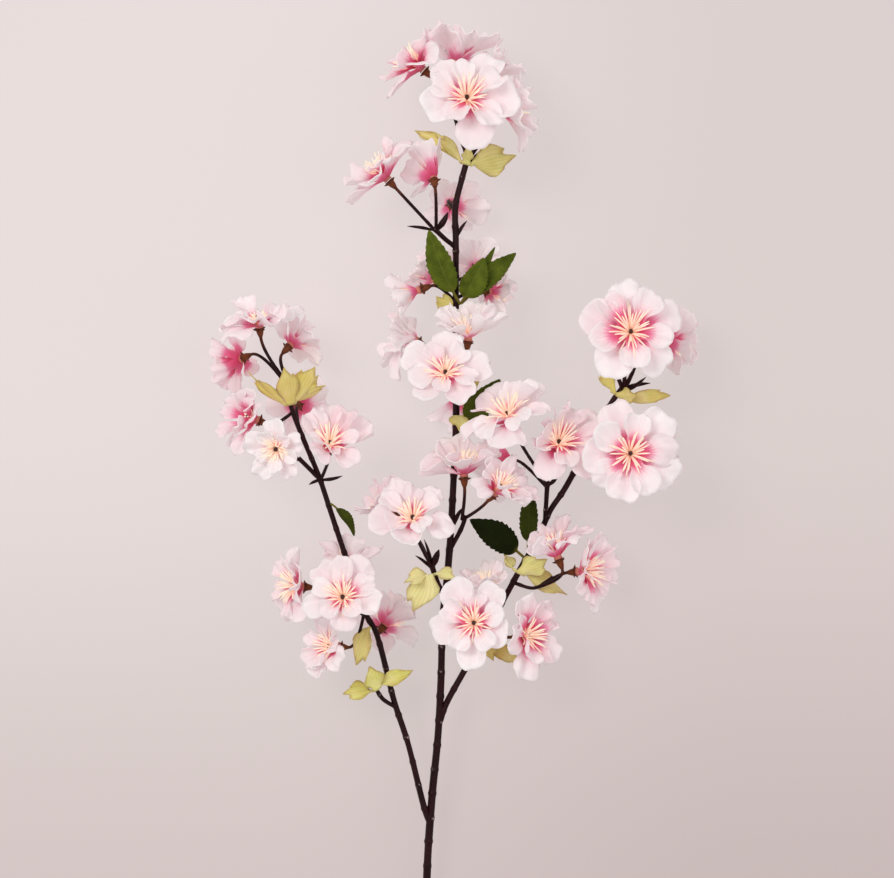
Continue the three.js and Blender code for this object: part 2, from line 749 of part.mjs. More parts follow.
// Bends a bloom clear of a fixed piece.
function clearOf(bloom, piece, fold) {
  const gap = CLEARANCE + SHEET + piece.radius;
  let best = { share: -Infinity };
  for (const direction of DIRECTIONS) {
    const near = -highest(piece.points, direction.clone().negate());
    const room = near - bloom.centre.dot(direction) - gap;
    if (room <= 0) continue;
    const share = room / (highest(bloom.points, direction) - bloom.centre.dot(direction));
    if (share > best.share) best = { share, direction };
    if (share >= 1) return share;
  }
  if (best.direction) press(bloom, best.direction, best.share, fold);
  return best.share;
}

function settle(blooms, fixed) {
  const down = new THREE.Vector3(0, 0, -1);
  const close = (bloom, points) => points.some((point) => point.distanceTo(bloom.centre) < 45);
  for (const fold of [0.7, 0.5, 0.3, 0, 0, 0]) {
    blooms.forEach((a, i) => {
      for (const b of blooms.slice(i + 1)) {
        if (close(a, [b.centre])) partBlooms(a, b, fold);
      }
    });
    for (const bloom of blooms) {
      for (const piece of fixed) {
        if (piece.bloom !== bloom && close(bloom, piece.points)) clearOf(bloom, piece, fold);
      }
      const depth = highest(bloom.points, down) + bloom.centre.z;
      const room = bloom.centre.z - SHEET;
      if (depth > room) press(bloom, down, room / depth, fold);
    }
  }
}

// ---- Bracts and leaves ----

// Where a stem passes a given Y, which way it runs there, and a radius that clears its rings.
function seatOn({ route, radii }, y) {
  const curve = routeCurve(route);
  let low = 0;
  let high = 1;
  while (high - low > 1e-4) {
    const middle = (low + high) / 2;
    if (curve.getPointAt(middle).y < y) low = middle;
    else high = middle;
  }
  const radius = KNOT_SWELL * THREE.MathUtils.lerp(...radii, low);
  return { centre: curve.getPointAt(low), axis: curve.getTangentAt(low), radius };
}

// A bract: a cuff that goes most of the way round the stem, with a lobe for each tip.
function bractSheet({ stem, y, lobes }) {
  const { centre, axis, radius } = seatOn({ ...STEMS, ...SPURS }[stem], y);
  const [first, second] = sideways(axis);
  const turned = lobes.map((lobe) => {
    const arm = vector(lobe.tip).sub(centre);
    return { ...lobe, arm, angle: Math.atan2(arm.dot(second), arm.dot(first)) };
  });
  turned.sort((a, b) => a.angle - b.angle);
  const gaps = turned.map((lobe, i) => {
    const next = turned[(i + 1) % turned.length].angle + (i + 1 === turned.length ? 2 * Math.PI : 0);
    return next - lobe.angle;
  });
  const widest = gaps.indexOf(Math.max(...gaps));
  const ordered = turned.map((_, i) => turned[(widest + 1 + i) % turned.length]);
  for (let i = 1; i < ordered.length; i++) {
    while (ordered[i].angle < ordered[i - 1].angle) ordered[i].angle += 2 * Math.PI;
  }
  const spread = 0.55;
  const cuts = [ordered[0].angle - spread];
  for (let i = 1; i < ordered.length; i++) {
    cuts.push((ordered[i - 1].angle + ordered[i].angle) / 2);
  }
  cuts.push(ordered[ordered.length - 1].angle + spread);
  const ringAt = (reach, rise) => cuts.map((angle) => centre.clone()
    .addScaledVector(first, reach * Math.cos(angle))
    .addScaledVector(second, reach * Math.sin(angle))
    .addScaledVector(axis, rise));
  const widestStep = Math.max(...cuts.slice(1).map((cut, i) => cut - cuts[i]));
  const inside = (radius + CLEARANCE + SHEET) / Math.cos(Math.min(widestStep / 2, 0.8));
  const cuff = cuts.length;
  const points = [...ringAt(inside, 0), ...ringAt(inside + CUFF_FLARE, CUFF_RISE)];
  const faces = [];
  const pieces = [{ points: points.slice(), radius: SHEET }];
  ordered.forEach((lobe, i) => {
    const [left0, right0] = [cuff + i, cuff + i + 1];
    const foot = points[left0].clone().add(points[right0]).multiplyScalar(0.5);
    const tip = vector(lobe.tip);
    const run = tip.clone().sub(foot).normalize();
    const across = points[right0].clone().sub(points[left0]).normalize();
    const flat = new THREE.Vector3().crossVectors(axis, run).normalize();
    const toViewer = new THREE.Vector3().crossVectors(new THREE.Vector3(0, 0, 1), run).normalize();
    if (toViewer.dot(flat) < 0) toViewer.negate();
    const side = across.clone().multiplyScalar(0.35).add(toViewer.multiplyScalar(0.65)).normalize();
    const normal = new THREE.Vector3().crossVectors(run, side).normalize();
    const half = lobe.width / 2;
    const place = (share, sideShare, lift) => foot.clone().lerp(tip, share)
      .addScaledVector(side, sideShare * half)
      .addScaledVector(normal, lift);
    const start = points.length;
    points.push(place(0.55, -1, 0.8), place(0.5, 0, -0.9), place(0.55, 1, 0.8));
    points.push(place(0.86, -0.55, 0), place(1, 0, -0.6), place(0.84, 0.55, 0));
    const [left, middle, right, endLeft, end, endRight] = [0, 1, 2, 3, 4, 5].map((k) => start + k);
    faces.push(
      [i, i + 1, right0],
      [i, right0, left0],
      [left0, right0, middle],
      [right0, right, middle],
      [left, left0, middle],
      [endLeft, left, middle],
      [end, endLeft, middle],
      [endRight, end, middle],
      [right, endRight, middle],
    );
    pieces.push({ points: [points[left0], points[right0], ...points.slice(start)], radius: SHEET });
  });
  return { points, faces, pieces };
}

// A leaf: a slim stalk that widens into a toothed blade, folded a little along its middle.
function leafSheet(foot, { tip, width, face }) {
  const start = vector(foot);
  const end = vector(tip);
  const run = end.clone().sub(start);
  const side = new THREE.Vector3().crossVectors(run, vector(face)).normalize();
  const normal = new THREE.Vector3().crossVectors(side, run).normalize();
  const arch = 0.09 * run.length();
  const stalk = (2 * STALK_HALF) / width;
  const rows = [[0, stalk], [0.2, stalk], [0.34, 0.8], [0.5, 1], [0.58, 0.82], [0.74, 0.8], [0.86, 0.42]];
  const place = (share, sideShare, lift) => start.clone().lerp(end, share)
    .addScaledVector(side, sideShare * width / 2)
    .addScaledVector(normal, lift + arch * 4 * share * (1 - share));
  const points = [];
  const faces = [];
  rows.forEach(([share, wide], i) => {
    points.push(place(share, -wide, 0.16 * wide * width / 2), place(share, 0, 0));
    points.push(place(share, wide, 0.16 * wide * width / 2));
    if (i === 0) return;
    const [a, b, c, d, e, f] = [-6, -5, -4, -3, -2, -1].map((k) => points.length + k);
    faces.push([a, b, d], [b, e, d], [b, c, e], [c, f, e]);
  });
  points.push(end);
  const last = points.length - 1;
  faces.push([last - 3, last - 2, last], [last - 2, last - 1, last]);
  return { points, faces };
}

// ---- Assembly ----

const blooms = BLOOMS.map(newBloom);
const woody = [
  ...Object.values(STEMS).map(knottedStem),
  ...Object.values(SPURS).map(knottedStem),
  ...SCALES.map(scaleSolid),
  ...blooms.map(pegSolid),
];
const bracts = BRACTS.map((entry) => ({ name: `bract_${entry.name}`, ...bractSheet(entry) }));
const leaves = LEAVES.map(({ name, foot, blades }) => ({
  name: `leaf_${name}`,
  blades: blades.map((blade) => leafSheet(foot, blade)),
}));
const fixed = woody.flatMap(({ rods, bloom }) => rods.map((rod) => ({ ...rod, bloom })));
fixed.push(...bracts.flatMap(({ pieces }) => pieces));
for (const { points } of leaves.flatMap(({ blades }) => blades)) {
  fixed.push({ points: points.slice(3), radius: SHEET });
}
settle(blooms, fixed);

const materials = {
  stem: new THREE.MeshStandardMaterial({ color: COLOURS.stem, roughness: 0.42 }),
  petal: new THREE.MeshStandardMaterial({ color: COLOURS.petal, roughness: 0.85 }),
  bract: new THREE.MeshStandardMaterial({ color: COLOURS.bract, roughness: 0.8 }),
  leaf: new THREE.MeshStandardMaterial({ color: COLOURS.leaf, roughness: 0.7 }),
};

function meshOf(name, geometry, material) {
  const mesh = new THREE.Mesh(geometry, material);
  mesh.name = name;
  return mesh;
}


const sprig = new THREE.Group();
const joined = woody.map(({ solid }) => solid).reduce((whole, solid) => whole.add(solid));
const bark = geometryFrom(joined.simplify(JOIN_TOLERANCE));
sprig.add(meshOf("branching_stem", bark, materials.stem));
for (const bloom of blooms) {
  sprig.add(meshOf(`bloom_${bloom.name}`, bloomGeometry(bloom), materials.petal));
}
for (const bract of bracts) {
  sprig.add(meshOf(bract.name, geometryFrom(solidOf(thicken(bract))), materials.bract));
}
for (const { name, blades } of leaves) {
  const spray = blades.map((blade) => solidOf(thicken(blade))).reduce((whole, blade) => whole.add(blade));
  sprig.add(meshOf(name, geometryFrom(spray.simplify(PETAL_TOLERANCE)), materials.leaf));
}

const box = new THREE.Box3().setFromObject(sprig, true);
sprig.position.set(-(box.min.x + box.max.x) / 2, -(box.min.y + box.max.y) / 2, -box.min.z);

export default sprig;
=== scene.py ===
"""An artificial cherry blossom sprig, lying on a pale surface and seen from above.

The stem, blooms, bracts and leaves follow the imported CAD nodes: the same layout, in millimetres from the cut
end of the stem, with finer forms and procedural materials. Objects are in metres in the row frame.
"""

import math

import bpy
import numpy as np
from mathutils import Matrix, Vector


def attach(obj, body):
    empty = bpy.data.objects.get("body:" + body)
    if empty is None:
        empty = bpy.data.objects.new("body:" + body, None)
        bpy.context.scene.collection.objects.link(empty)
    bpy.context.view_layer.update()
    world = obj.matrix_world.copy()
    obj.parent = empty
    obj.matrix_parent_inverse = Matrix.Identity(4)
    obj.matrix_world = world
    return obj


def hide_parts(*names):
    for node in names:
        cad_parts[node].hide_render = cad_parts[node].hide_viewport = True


MM = 0.001
CUT_END_HEIGHT = 2.5  # of the stem's middle above the surface, at the cut end

# ---- Layout, in mm from the cut end: the names and numbers of the CAD source ----

SHEET = 0.34  # half a fabric sheet's thickness in the CAD
SEAT_GAP = 0.3  # between a bloom and its calyx
CLEARANCE = 0.3  # between pieces that would otherwise touch
KNOT_SWELL = 1.16  # how much wider a ring is than the stem
RING_SPACING = 12.5
CALYX_LENGTH = 5.2
CALYX_RIM = 2.5
PEG_RADIUS = 0.8
PEG_PULL = 0.28  # how straight a peg leaves the calyx
STALK_HALF = 0.65  # half the width of a leaf's stalk
CUFF_FLARE = 1.2
CUFF_RISE = 1.4
PETALS = 5
HUB_RADIUS = 1.7
HUB_HEIGHT = 3.3

# The two layers of petals: reach, where neighbours part, slopes at the throat and the tip, height of the
# base, and turn, with the angles in degrees
LOWER = dict(reach=24, notch=6.4, throat=30, tip=0, base=0, turn=0)
UPPER = dict(reach=20, notch=6, throat=41, tip=12, base=2.0, turn=36)

# Each stem's route, and its radius at the start and at the end
STEMS = {
    "main": ([
        [0, 0, 2.5], [0, 60, 8], [0.5, 122, 14], [3, 160, 18], [6, 191, 20.5], [7.5, 218.5, 23.5],
        [8.5, 252, 26.5], [10.5, 269.5, 27.5], [12.5, 295, 29.5], [14, 323, 31], [15, 342, 32],
        [15, 408, 33], [15, 441, 33.5], [14.8, 458, 33.5], [17.5, 470, 34], [21.5, 484.5, 34.5],
    ], (2.1, 1.5)),
    "left": ([
        [2, 146, 16.5], [-0.3, 152, 18], [-9.5, 188.5, 22], [-16, 208.5, 24], [-25.5, 244.5, 27],
        [-30, 252.5, 28], [-43, 290, 31], [-51.5, 316, 32], [-53.5, 322, 32], [-68.3, 360, 33],
        [-68.4, 368, 33],
    ], (1.5, 1.25)),
    "right": ([
        [7.3, 199, 21.7], [9.5, 206, 22.5], [20.5, 226.5, 24.5], [40.5, 263, 28], [47.5, 276, 29],
        [56.5, 292, 30.5], [62.5, 305.5, 31.5], [69.5, 316, 32], [83.5, 342, 33], [94, 361, 33.5],
        [98.5, 367, 33.5],
    ], (1.5, 1.4)),
    "upperPick": ([[14.8, 438, 33.5], [10, 441.5, 35.5], [4, 447, 37.5]], (1.1, 1.2)),
    "midSpur": ([[12.8, 287, 29], [18, 297, 31], [20, 303, 32]], (1.1, 1.1)),
    "leftMidPick": ([[9.5, 261, 27], [5.5, 270, 29.5], [3, 277.5, 31]], (1.1, 1.4)),
    "leftSpur": ([[-54, 322, 32], [-59, 327, 33], [-64, 332, 34]], (1.1, 1.1)),
    "lowLeftSpur": ([[-15.5, 206, 24], [-22, 210.5, 26.5], [-26.5, 218, 29]], (1, 1.1)),
    "rightSpur": ([[59.8, 298.5, 31], [60.5, 311, 32.5], [61, 320, 34]], (1.1, 1.3)),
    "lowRightPick": ([[44, 269, 28.5], [54.5, 266.5, 31], [64, 272, 31.5]], (0.9, 0.9)),
}

# Bud scales and bare pegs on the stem: foot, tip, radius
SCALES = [
    ([4, 446, 37.5], [-9.5, 448, 38.5], 0.9),
    ([5, 446, 37.5], [11, 455, 40], 1.7),
    ([15, 442, 33.5], [20.5, 451, 35.5], 1.0),
    ([20, 480, 34.5], [30, 494, 38], 1.2),
    ([20, 479, 34.5], [31.5, 489, 40], 1.1),
    ([14, 298, 29.5], [18.5, 307, 32], 1.2),
    ([3, 277, 31], [6.5, 286, 34], 1.9),
    ([3, 276, 31], [-5.5, 283, 32.5], 0.9),
    ([3, 277, 31], [-1, 291, 31], 0.9),
    ([-53, 321, 32], [-42, 323, 34.5], 1),
    ([-53, 321, 32], [-59, 318.5, 31], 0.9),
    ([61, 318, 34], [66.5, 324, 36], 1.1),
    ([98, 366, 33.5], [112.5, 369.5, 37], 1.2),
    ([-68, 364, 33], [-60, 372, 35], 1),
    ([98.5, 365, 34], [93, 376.5, 41], 1.1),
    ([98.5, 365, 34], [98, 379, 43], 1.1),
    ([99, 365, 34], [105, 377.5, 42], 1.2),
    ([99, 365, 34], [110, 372.5, 40], 1.1),
    ([21, 482, 34.5], [14.5, 498.5, 42], 1.2),
    ([21.3, 483, 34.5], [25, 498, 44], 1.1),
]

# name, middle of the petals, facing, root of the peg, size, how many degrees the petals close from the common
# bloom and, for some, the turn of the first petal in degrees
BLOOMS = [
    ("top_front", [20, 507.5, 60], [0.05, 0.4, 0.9], [21.5, 484, 34.5], 1.17, 0, 63),
    ("top_left", [-1.5, 526, 42], [-0.7, 0.6, 0.1], [20.5, 482, 34.5], 1.05, -4),
    ("top_tip", [15.5, 530, 33], [-0.05, 0.95, -0.1], [21.5, 484, 34.5], 1.15, -2),
    ("top_right", [31, 523.5, 33], [0.75, 0.55, 0.1], [21.5, 484, 34.5], 0.9, 2),
    ("top_low_right", [37.5, 504, 44], [0.9, 0.2, 0.2], [21, 483, 34.5], 0.95, 6),
    ("long_peg", [-19, 471, 42], [-0.65, 0.7, 0.1], [4, 446.5, 37.5], 1.0, -4),
    ("upper_left", [4, 471, 45], [-0.1, 0.75, -0.55], [5, 446, 37], 1.0, -4),
    ("upper_back", [13, 460, 18], [0.3, -0.25, -0.9], [14.8, 456, 33.5], 0.8, 0),
    ("crown_left", [5, 421.5, 27], [-0.92, 0.35, 0.15], [15, 413, 33], 0.9, 2),
    ("crown_low_left", [-3, 416.5, 34], [-0.85, -0.3, -0.1], [15, 410, 33], 0.7, 15),
    ("crown_right", [31, 416, 26], [0.75, -0.1, -0.6], [15, 412, 33], 0.6, 5),
    ("crown_back", [25, 428, 16], [0.15, 0.35, -0.9], [15, 421, 33], 0.75, 0),
    ("centre_left", [-5, 391, 31], [-0.7, 0.45, 0.1], [15, 384, 33], 1.0, -4),
    ("centre_front", [10, 372.5, 54], [-0.05, 0.4, 0.9], [15, 366, 32.7], 0.95, 0, 13),
    ("centre_top", [21, 391, 46], [0.1, 0.93, 0.25], [15, 386, 33], 0.9, 12),
    ("centre_back", [18, 364, 16], [0.15, -0.4, -0.9], [15, 358, 32.5], 0.9, 0),
    ("mid_top", [19, 323, 42], [-0.05, 0.97, 0.1], [18, 301, 31.5], 1.0, 0),
    ("mid_front", [34, 314.5, 51], [0.55, 0.65, 0.45], [20, 302, 32], 0.9, 8),
    ("mid_left_front", [-6, 299.5, 52], [-0.1, 0.65, 0.75], [3, 277, 31], 0.95, 4, 6),
    ("mid_left", [-17, 304, 36], [-0.8, 0.5, 0.1], [3, 277, 31], 0.85, 10),
    ("inner_right", [42, 350, 56], [-0.35, 0.8, 0.45], [61, 319, 34], 1.1, -4),
    ("inner_back", [43, 330, 15], [-0.4, -0.1, -0.9], [60.8, 317, 33.5], 0.9, 0),
    ("inner_front", [65.5, 337, 45], [0.12, 0.6, 0.75], [61, 320, 34], 1.12, 2),
    ("right_front", [101, 393.5, 58], [0, 0.2, 0.98], [99, 367, 33.5], 1.25, 0, 22),
    ("right_side", [120, 391, 28], [0.8, 0.1, -0.5], [100, 366, 33.5], 0.9, 5),
    ("right_low_front", [100.5, 334, 62], [0, 0.1, 1], [92, 357, 33], 1.18, 0, 42),
    ("right_low_side", [112, 334, 30], [0.95, 0, -0.2], [91, 355, 33], 0.9, 5),
    ("low_right_up", [66, 282, 42], [-0.35, 0.9, 0.1], [54.5, 266.5, 31], 1.0, 8),
    ("low_right_side", [76, 275, 36], [0.8, 0.1, 0.4], [63, 271, 31.4], 1.0, 2),
    ("low_front", [24, 250, 54], [-0.05, 0.15, 0.98], [30, 243, 26.2], 1.02, 0, 51),
    ("low_right_front", [47, 243, 44], [0.7, 0.1, 0.6], [31, 245, 26.3], 0.95, 4),
    ("low_middle", [31, 264, 32], [-0.1, 0.9, 0.3], [34, 251, 27], 0.8, 8),
    ("left_top", [-83, 397.5, 46], [-0.1, 0.88, 0.35], [-68, 367.5, 33], 1.0, -8),
    ("left_side", [-92.5, 382, 31], [-0.7, -0.3, -0.5], [-68.2, 366, 33], 0.78, 2),
    ("left_inner", [-68.5, 388.5, 31], [0.6, 0.65, -0.35], [-68, 367.5, 33], 0.78, 4),
    ("left_low_side", [-84.5, 351, 38], [-0.8, 0.35, 0.35], [-67, 355, 33], 0.9, 4),
    ("left_low_front", [-73.5, 337.5, 54], [-0.1, -0.2, 0.95], [-64, 331, 34], 0.72, 5),
    ("left_middle", [-48, 336.5, 50], [0.05, 0.6, 0.75], [-53, 321, 32], 1.0, 4),
    ("left_back", [-65, 358.5, 15], [0.1, 0.1, -0.95], [-64, 348, 33], 0.72, 0),
    ("low_left_side", [-62, 267.5, 37], [-0.85, 0.1, 0.35], [-33, 261, 28.7], 0.9, -4),
    ("low_left_front", [-40.5, 262, 54], [-0.1, 0.3, 0.93], [-30, 252, 28], 0.98, 4, 58),
    ("low_left_down", [-44, 237.5, 38], [-0.75, 0.1, 0.5], [-31, 256, 28.3], 0.85, 8),
    ("low_left_back", [-22, 246, 18], [0.35, 0.5, -0.75], [-25.5, 243, 27], 0.85, 0),
    ("low_left_top", [-39.5, 276, 26], [0, 0.8, -0.45], [-33, 261, 28.7], 0.78, 2),
]

# How much less of a petal is pink than on the common bloom, as a share of its length
PALENESS = {
    "top_front": 0.05, "top_left": -0.1, "top_tip": 0.06, "top_right": 0.08, "top_low_right": 0.06,
    "long_peg": -0.02, "upper_left": -0.02, "upper_back": 0.06, "crown_left": 0.02, "crown_back": 0.14,
    "centre_left": 0.16, "centre_front": 0.07, "centre_top": 0.14, "centre_back": 0.02, "mid_top": 0.06,
    "mid_left": -0.02, "mid_left_front": 0.05, "inner_right": 0.1, "inner_front": 0.02,
    "right_front": -0.03, "right_side": 0.02, "right_low_front": -0.03, "right_low_side": 0.08,
    "low_right_side": -0.08, "low_front": 0.02, "low_right_front": -0.14,
    "low_middle": 0.16, "left_top": 0.08, "left_side": -0.14, "left_inner": 0.06, "left_low_side": -0.08,
    "left_low_front": 0.16, "left_middle": 0.02, "left_back": -0.04,
    "low_left_front": 0.05, "low_left_back": 0.04, "low_left_top": 0.1,
}

# How pink the pale part of the petals is, and the blooms that differ from the common one
COMMON_BLUSH = 0.4
BLUSH = {
    "right_front": 0.1, "right_low_front": 0.14, "right_side": 0.35, "low_front": 0.1, "centre_front": 0.45,
    "centre_left": 0.3, "centre_top": 0.2, "top_front": 0.25, "top_left": 0.65, "top_tip": 0.3,
    "left_side": 0.8, "left_inner": 0.6, "left_low_side": 0.6, "left_low_front": 0.3,
    "left_middle": 0.85, "inner_front": 0.7, "inner_right": 0.5, "mid_top": 0.5, "mid_left": 0.7,
    "low_left_front": 0.35, "low_left_top": 0.6, "low_left_back": 0.6, "low_right_front": 0.5,
}

# Blooms whose stamens are short
SHORT_TUFTS = ["left_top", "centre_left", "top_tip", "left_low_side", "top_right"]

# name, stem, y, lobes of (tip, width)
BRACTS = [
    ("top", "main", 479, [([4.5, 495, 40], 6), ([46, 484, 42], 17), ([22, 489, 47], 6), ([-6, 499, 29], 7)]),
    ("upper", "main", 403, [([5, 414, 40], 8), ([34, 408, 39], 10)]),
    ("centre", "main", 352, [([16.5, 346, 44], 9), ([31.5, 381, 32], 6)]),
    ("left", "left", 358.5, [
        ([-89, 376, 39], 6), ([-71, 379, 44], 11), ([-56, 379, 39], 12), ([-50.5, 369, 35], 7),
    ]),
    ("right", "right", 363, [([87, 376, 38], 7), ([106, 363, 42], 8), ([123, 364, 38], 7)]),
    ("middle", "leftMidPick", 273.5, [([-7, 254.5, 35], 15), ([-11, 270, 37], 9), ([15, 272, 38], 7)]),
    ("low_left", "lowLeftSpur", 215.5, [([-42.5, 213.5, 31], 10), ([-29, 228, 35], 11), ([-7, 226, 31], 8)]),
    ("hanging", "left", 247, [([-35, 227, 39], 10)]),
    ("low_right", "right", 274, [([39.5, 284.5, 30], 6), ([61, 281, 38], 12), ([72, 262, 21], 11)]),
    ("lowest", "right", 238, [([34, 231, 34], 7), ([49, 229, 32], 8)]),
]

# How far each bract goes towards pale cream and towards ochre
BRACT_TINTS = {
    "top": (0.35, 0.08), "upper": (0.2, 0.12), "centre": (0.25, 0), "left": (0.25, 0.2),
    "right": (0.2, 0.12), "middle": (0.8, 0), "low_left": (0.1, 0), "hanging": (0.4, 0.06),
    "low_right": (0.4, 0), "lowest": (0.2, 0.15),
}

# name, foot, blades of (tip, width, facing, how dark it is)
LEAVES = [
    ("upper_spray", [17.2, 409, 35.3], [
        ([1.5, 445.5, 45], 14, [-0.2, 0.1, 1], 0.08), ([29, 431.5, 46], 14.5, [0.3, 0, 1], 0),
        ([45, 434.5, 39], 11, [0, 0.2, 1], 0.22), ([34.5, 437.5, 41], 5.5, [0.3, 0, 1], 0.3),
    ]),
    ("inner", [17.3, 347, 33.2], [([37, 371, 43.5], 15, [0.3, -0.1, 1], 0.35)]),
    ("right_wide", [50.3, 281, 31.5], [([22, 301, 37], 15, [0, 0.2, 1], 0.95)]),
    ("right_tall", [51.2, 284, 32], [([52.5, 317.5, 39], 10, [-0.2, 0, 1], 0.7)]),
    ("left_edge", [-48, 309, 33], [([-36, 293, 38], 8, [0.7, 0.4, 0.6], 0.5)]),
]

# ---- Small helpers ----


def vec(values):
    return np.asarray(values, float)


def unit(v):
    return vec(v) / np.linalg.norm(v)


def draw(seed):
    """A repeatable draw between -1 and 1 for a number, the same as in the CAD source."""
    wave = math.sin(seed * 12.9898) * 43758.5453
    return 2 * (wave - math.floor(wave)) - 1


def sideways(axis):
    """Two directions across an axis and each other, the same as in the CAD source."""
    upright = np.array([0, 1, 0.0]) if abs(axis[2]) > 0.9 else np.array([0, 0, 1.0])
    first = unit(np.cross(upright, axis))
    return first, np.cross(axis, first)


def smooth(low, high, value):
    """A smooth step from 0 at low to 1 at high."""
    t = np.clip((vec(value) - low) / (high - low), 0, 1)
    return t * t * (3 - 2 * t)


class Curve:
    """A line through many points, read by its share of the length."""

    def __init__(self, points):
        self.points = vec(points)
        steps = np.linalg.norm(np.diff(self.points, axis=0), axis=1)
        self.marks = np.concatenate([[0], np.cumsum(steps)])
        self.length = self.marks[-1]

    def at(self, share):
        marks = np.clip(vec(share), 0, 1) * self.length
        return np.stack([np.interp(marks, self.marks, self.points[:, k]) for k in range(3)], -1)

    def along(self, share):
        step = 0.4 / self.length
        return unit(self.at(min(1, share + step)) - self.at(max(0, share - step)))


def smooth_route(route, steps=24):
    """The centripetal Catmull-Rom curve that the CAD source uses."""
    p = [vec(q) for q in route]
    p = [2 * p[0] - p[1], *p, 2 * p[-1] - p[-2]]
    out = []
    for a, b, c, d in zip(p, p[1:], p[2:], p[3:]):
        ta, tb, tc = (np.linalg.norm(v - u) ** 0.5 for u, v in ((a, b), (b, c), (c, d)))
        m1 = ((b - a) / ta - (c - a) / (ta + tb) + (c - b) / tb) * tb
        m2 = ((c - b) / tb - (d - b) / (tb + tc) + (d - c) / tc) * tb
        t = np.linspace(0, 1, steps, endpoint=False)[:, None]
        out.append(b + m1 * t + (3 * (c - b) - 2 * m1 - m2) * t**2 + (2 * (b - c) + m1 + m2) * t**3)
    return Curve(np.vstack([*out, p[-2]]))


def peg_route(seat, axis, root):
    """A peg's curve from the stem to the foot of its calyx, and that foot."""
    neck = seat - axis * CALYX_LENGTH
    bend = neck - axis * PEG_PULL * np.linalg.norm(root - neck)
    t = np.linspace(0, 1, 30)[:, None]
    return Curve((1 - t) ** 2 * root + 2 * t * (1 - t) * bend + t**2 * neck), neck


# ---- Meshes ----

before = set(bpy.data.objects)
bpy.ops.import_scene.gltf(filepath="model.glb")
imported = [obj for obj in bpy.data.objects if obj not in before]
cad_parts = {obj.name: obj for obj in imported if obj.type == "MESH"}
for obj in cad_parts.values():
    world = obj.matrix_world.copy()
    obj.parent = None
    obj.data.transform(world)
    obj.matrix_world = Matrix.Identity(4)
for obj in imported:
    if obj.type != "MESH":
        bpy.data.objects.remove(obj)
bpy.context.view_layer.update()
stem_co = np.array([v.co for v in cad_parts["branching_stem"].data.vertices])
cut_ring = stem_co[stem_co[:, 1] < stem_co[:, 1].min() + 0.6 * MM]
ORIGIN = np.array([
    (cut_ring[:, 0].min() + cut_ring[:, 0].max()) / 2,
    cut_ring[:, 1].mean(),
    (cut_ring[:, 2].min() + cut_ring[:, 2].max()) / 2 - CUT_END_HEIGHT * MM,
])


def add_object(name, data):
    made = bpy.data.objects.new(name, data)
    bpy.context.scene.collection.objects.link(made)
    return made


class Builder:
    """Gathers sheets and tubes, with named numbers on each point, into one mesh."""

    def __init__(self):
        self.points, self.faces, self.flat, self.marks, self.count = [], [], [], {}, 0

    def add(self, points, faces, **marks):
        for key in sorted(set(self.marks) | set(marks)):
            had = self.marks.setdefault(key, [np.zeros(self.count)])
            had.append(marks.get(key, np.zeros(len(points))))
        for face in faces:
            self.faces.append(face + self.count)
            self.flat.append(np.full(len(face), False))
        self.points.append(points)
        self.count += len(points)

    def shade_last_flat(self):
        """Makes the faces added last, such as a sheet's rim, flat."""
        self.flat[-1][:] = True

    def build(self, name, material, slot, node=None):
        mesh = bpy.data.meshes.new(name)
        points = np.vstack(self.points) * MM + ORIGIN
        points[:, 2] = np.maximum(points[:, 2], 0)
        sizes = np.concatenate([np.full(len(f), f.shape[1]) for f in self.faces])
        corners = np.concatenate([f.reshape(-1) for f in self.faces])
        mesh.vertices.add(len(points))
        mesh.vertices.foreach_set("co", points.astype(np.float32).reshape(-1))
        mesh.loops.add(len(corners))
        mesh.loops.foreach_set("vertex_index", corners.astype(np.int32))
        mesh.polygons.add(len(sizes))
        starts = np.concatenate([[0], np.cumsum(sizes)[:-1]])
        mesh.polygons.foreach_set("loop_start", starts.astype(np.int32))
        mesh.polygons.foreach_set("use_smooth", ~np.concatenate(self.flat))
        mesh.update(calc_edges=True)
        mesh.validate()
        for key, parts in self.marks.items():
            values = mesh.attributes.new(key, "FLOAT", "POINT")
            values.data.foreach_set("value", np.concatenate(parts).astype(np.float32))
        mesh.materials.append(material)
        piece = add_object(name, mesh)
        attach(piece, "root")
        if node:
            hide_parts(node)
        return piece


def grid_faces(rows, columns, wrap=False):
    """The four-sided faces of a grid of points; wrap joins its last column to its first."""
    across = columns if wrap else columns - 1
    i, j = np.meshgrid(np.arange(rows - 1), np.arange(across), indexing="ij")
    low, high = i * columns, (i + 1) * columns
    beside = (j + 1) % columns
    return np.stack([low + j, low + beside, high + beside, high + j], -1).reshape(-1, 4)


def add_sheet(builder, grid, half, **marks):
    """A thin sheet with a top, a bottom and a rim, from a grid of points."""
    rows, columns = grid.shape[:2]
    du = np.gradient(grid, axis=0)
    dv = np.gradient(grid, axis=1)
    normal = np.cross(dv, du)
    normal /= np.maximum(np.linalg.norm(normal, axis=2, keepdims=True), 1e-9)
    top = (grid + normal * half).reshape(-1, 3)
    bottom = (grid - normal * half).reshape(-1, 3)
    face = grid_faces(rows, columns)
    count = rows * columns
    ring = np.concatenate([
        np.arange(columns), np.arange(1, rows) * columns + columns - 1,
        (rows - 1) * columns + np.arange(columns - 2, -1, -1), np.arange(rows - 2, 0, -1) * columns,
    ])
    beside = np.roll(ring, -1)
    rim = np.stack([ring, ring + count, beside + count, beside], -1)
    marks = {k: np.tile(np.broadcast_to(v, (rows, columns)).reshape(-1), 2) for k, v in marks.items()}
    builder.add(np.vstack([top, bottom]), [face, face[:, ::-1] + count, rim], **marks)
    builder.shade_last_flat()


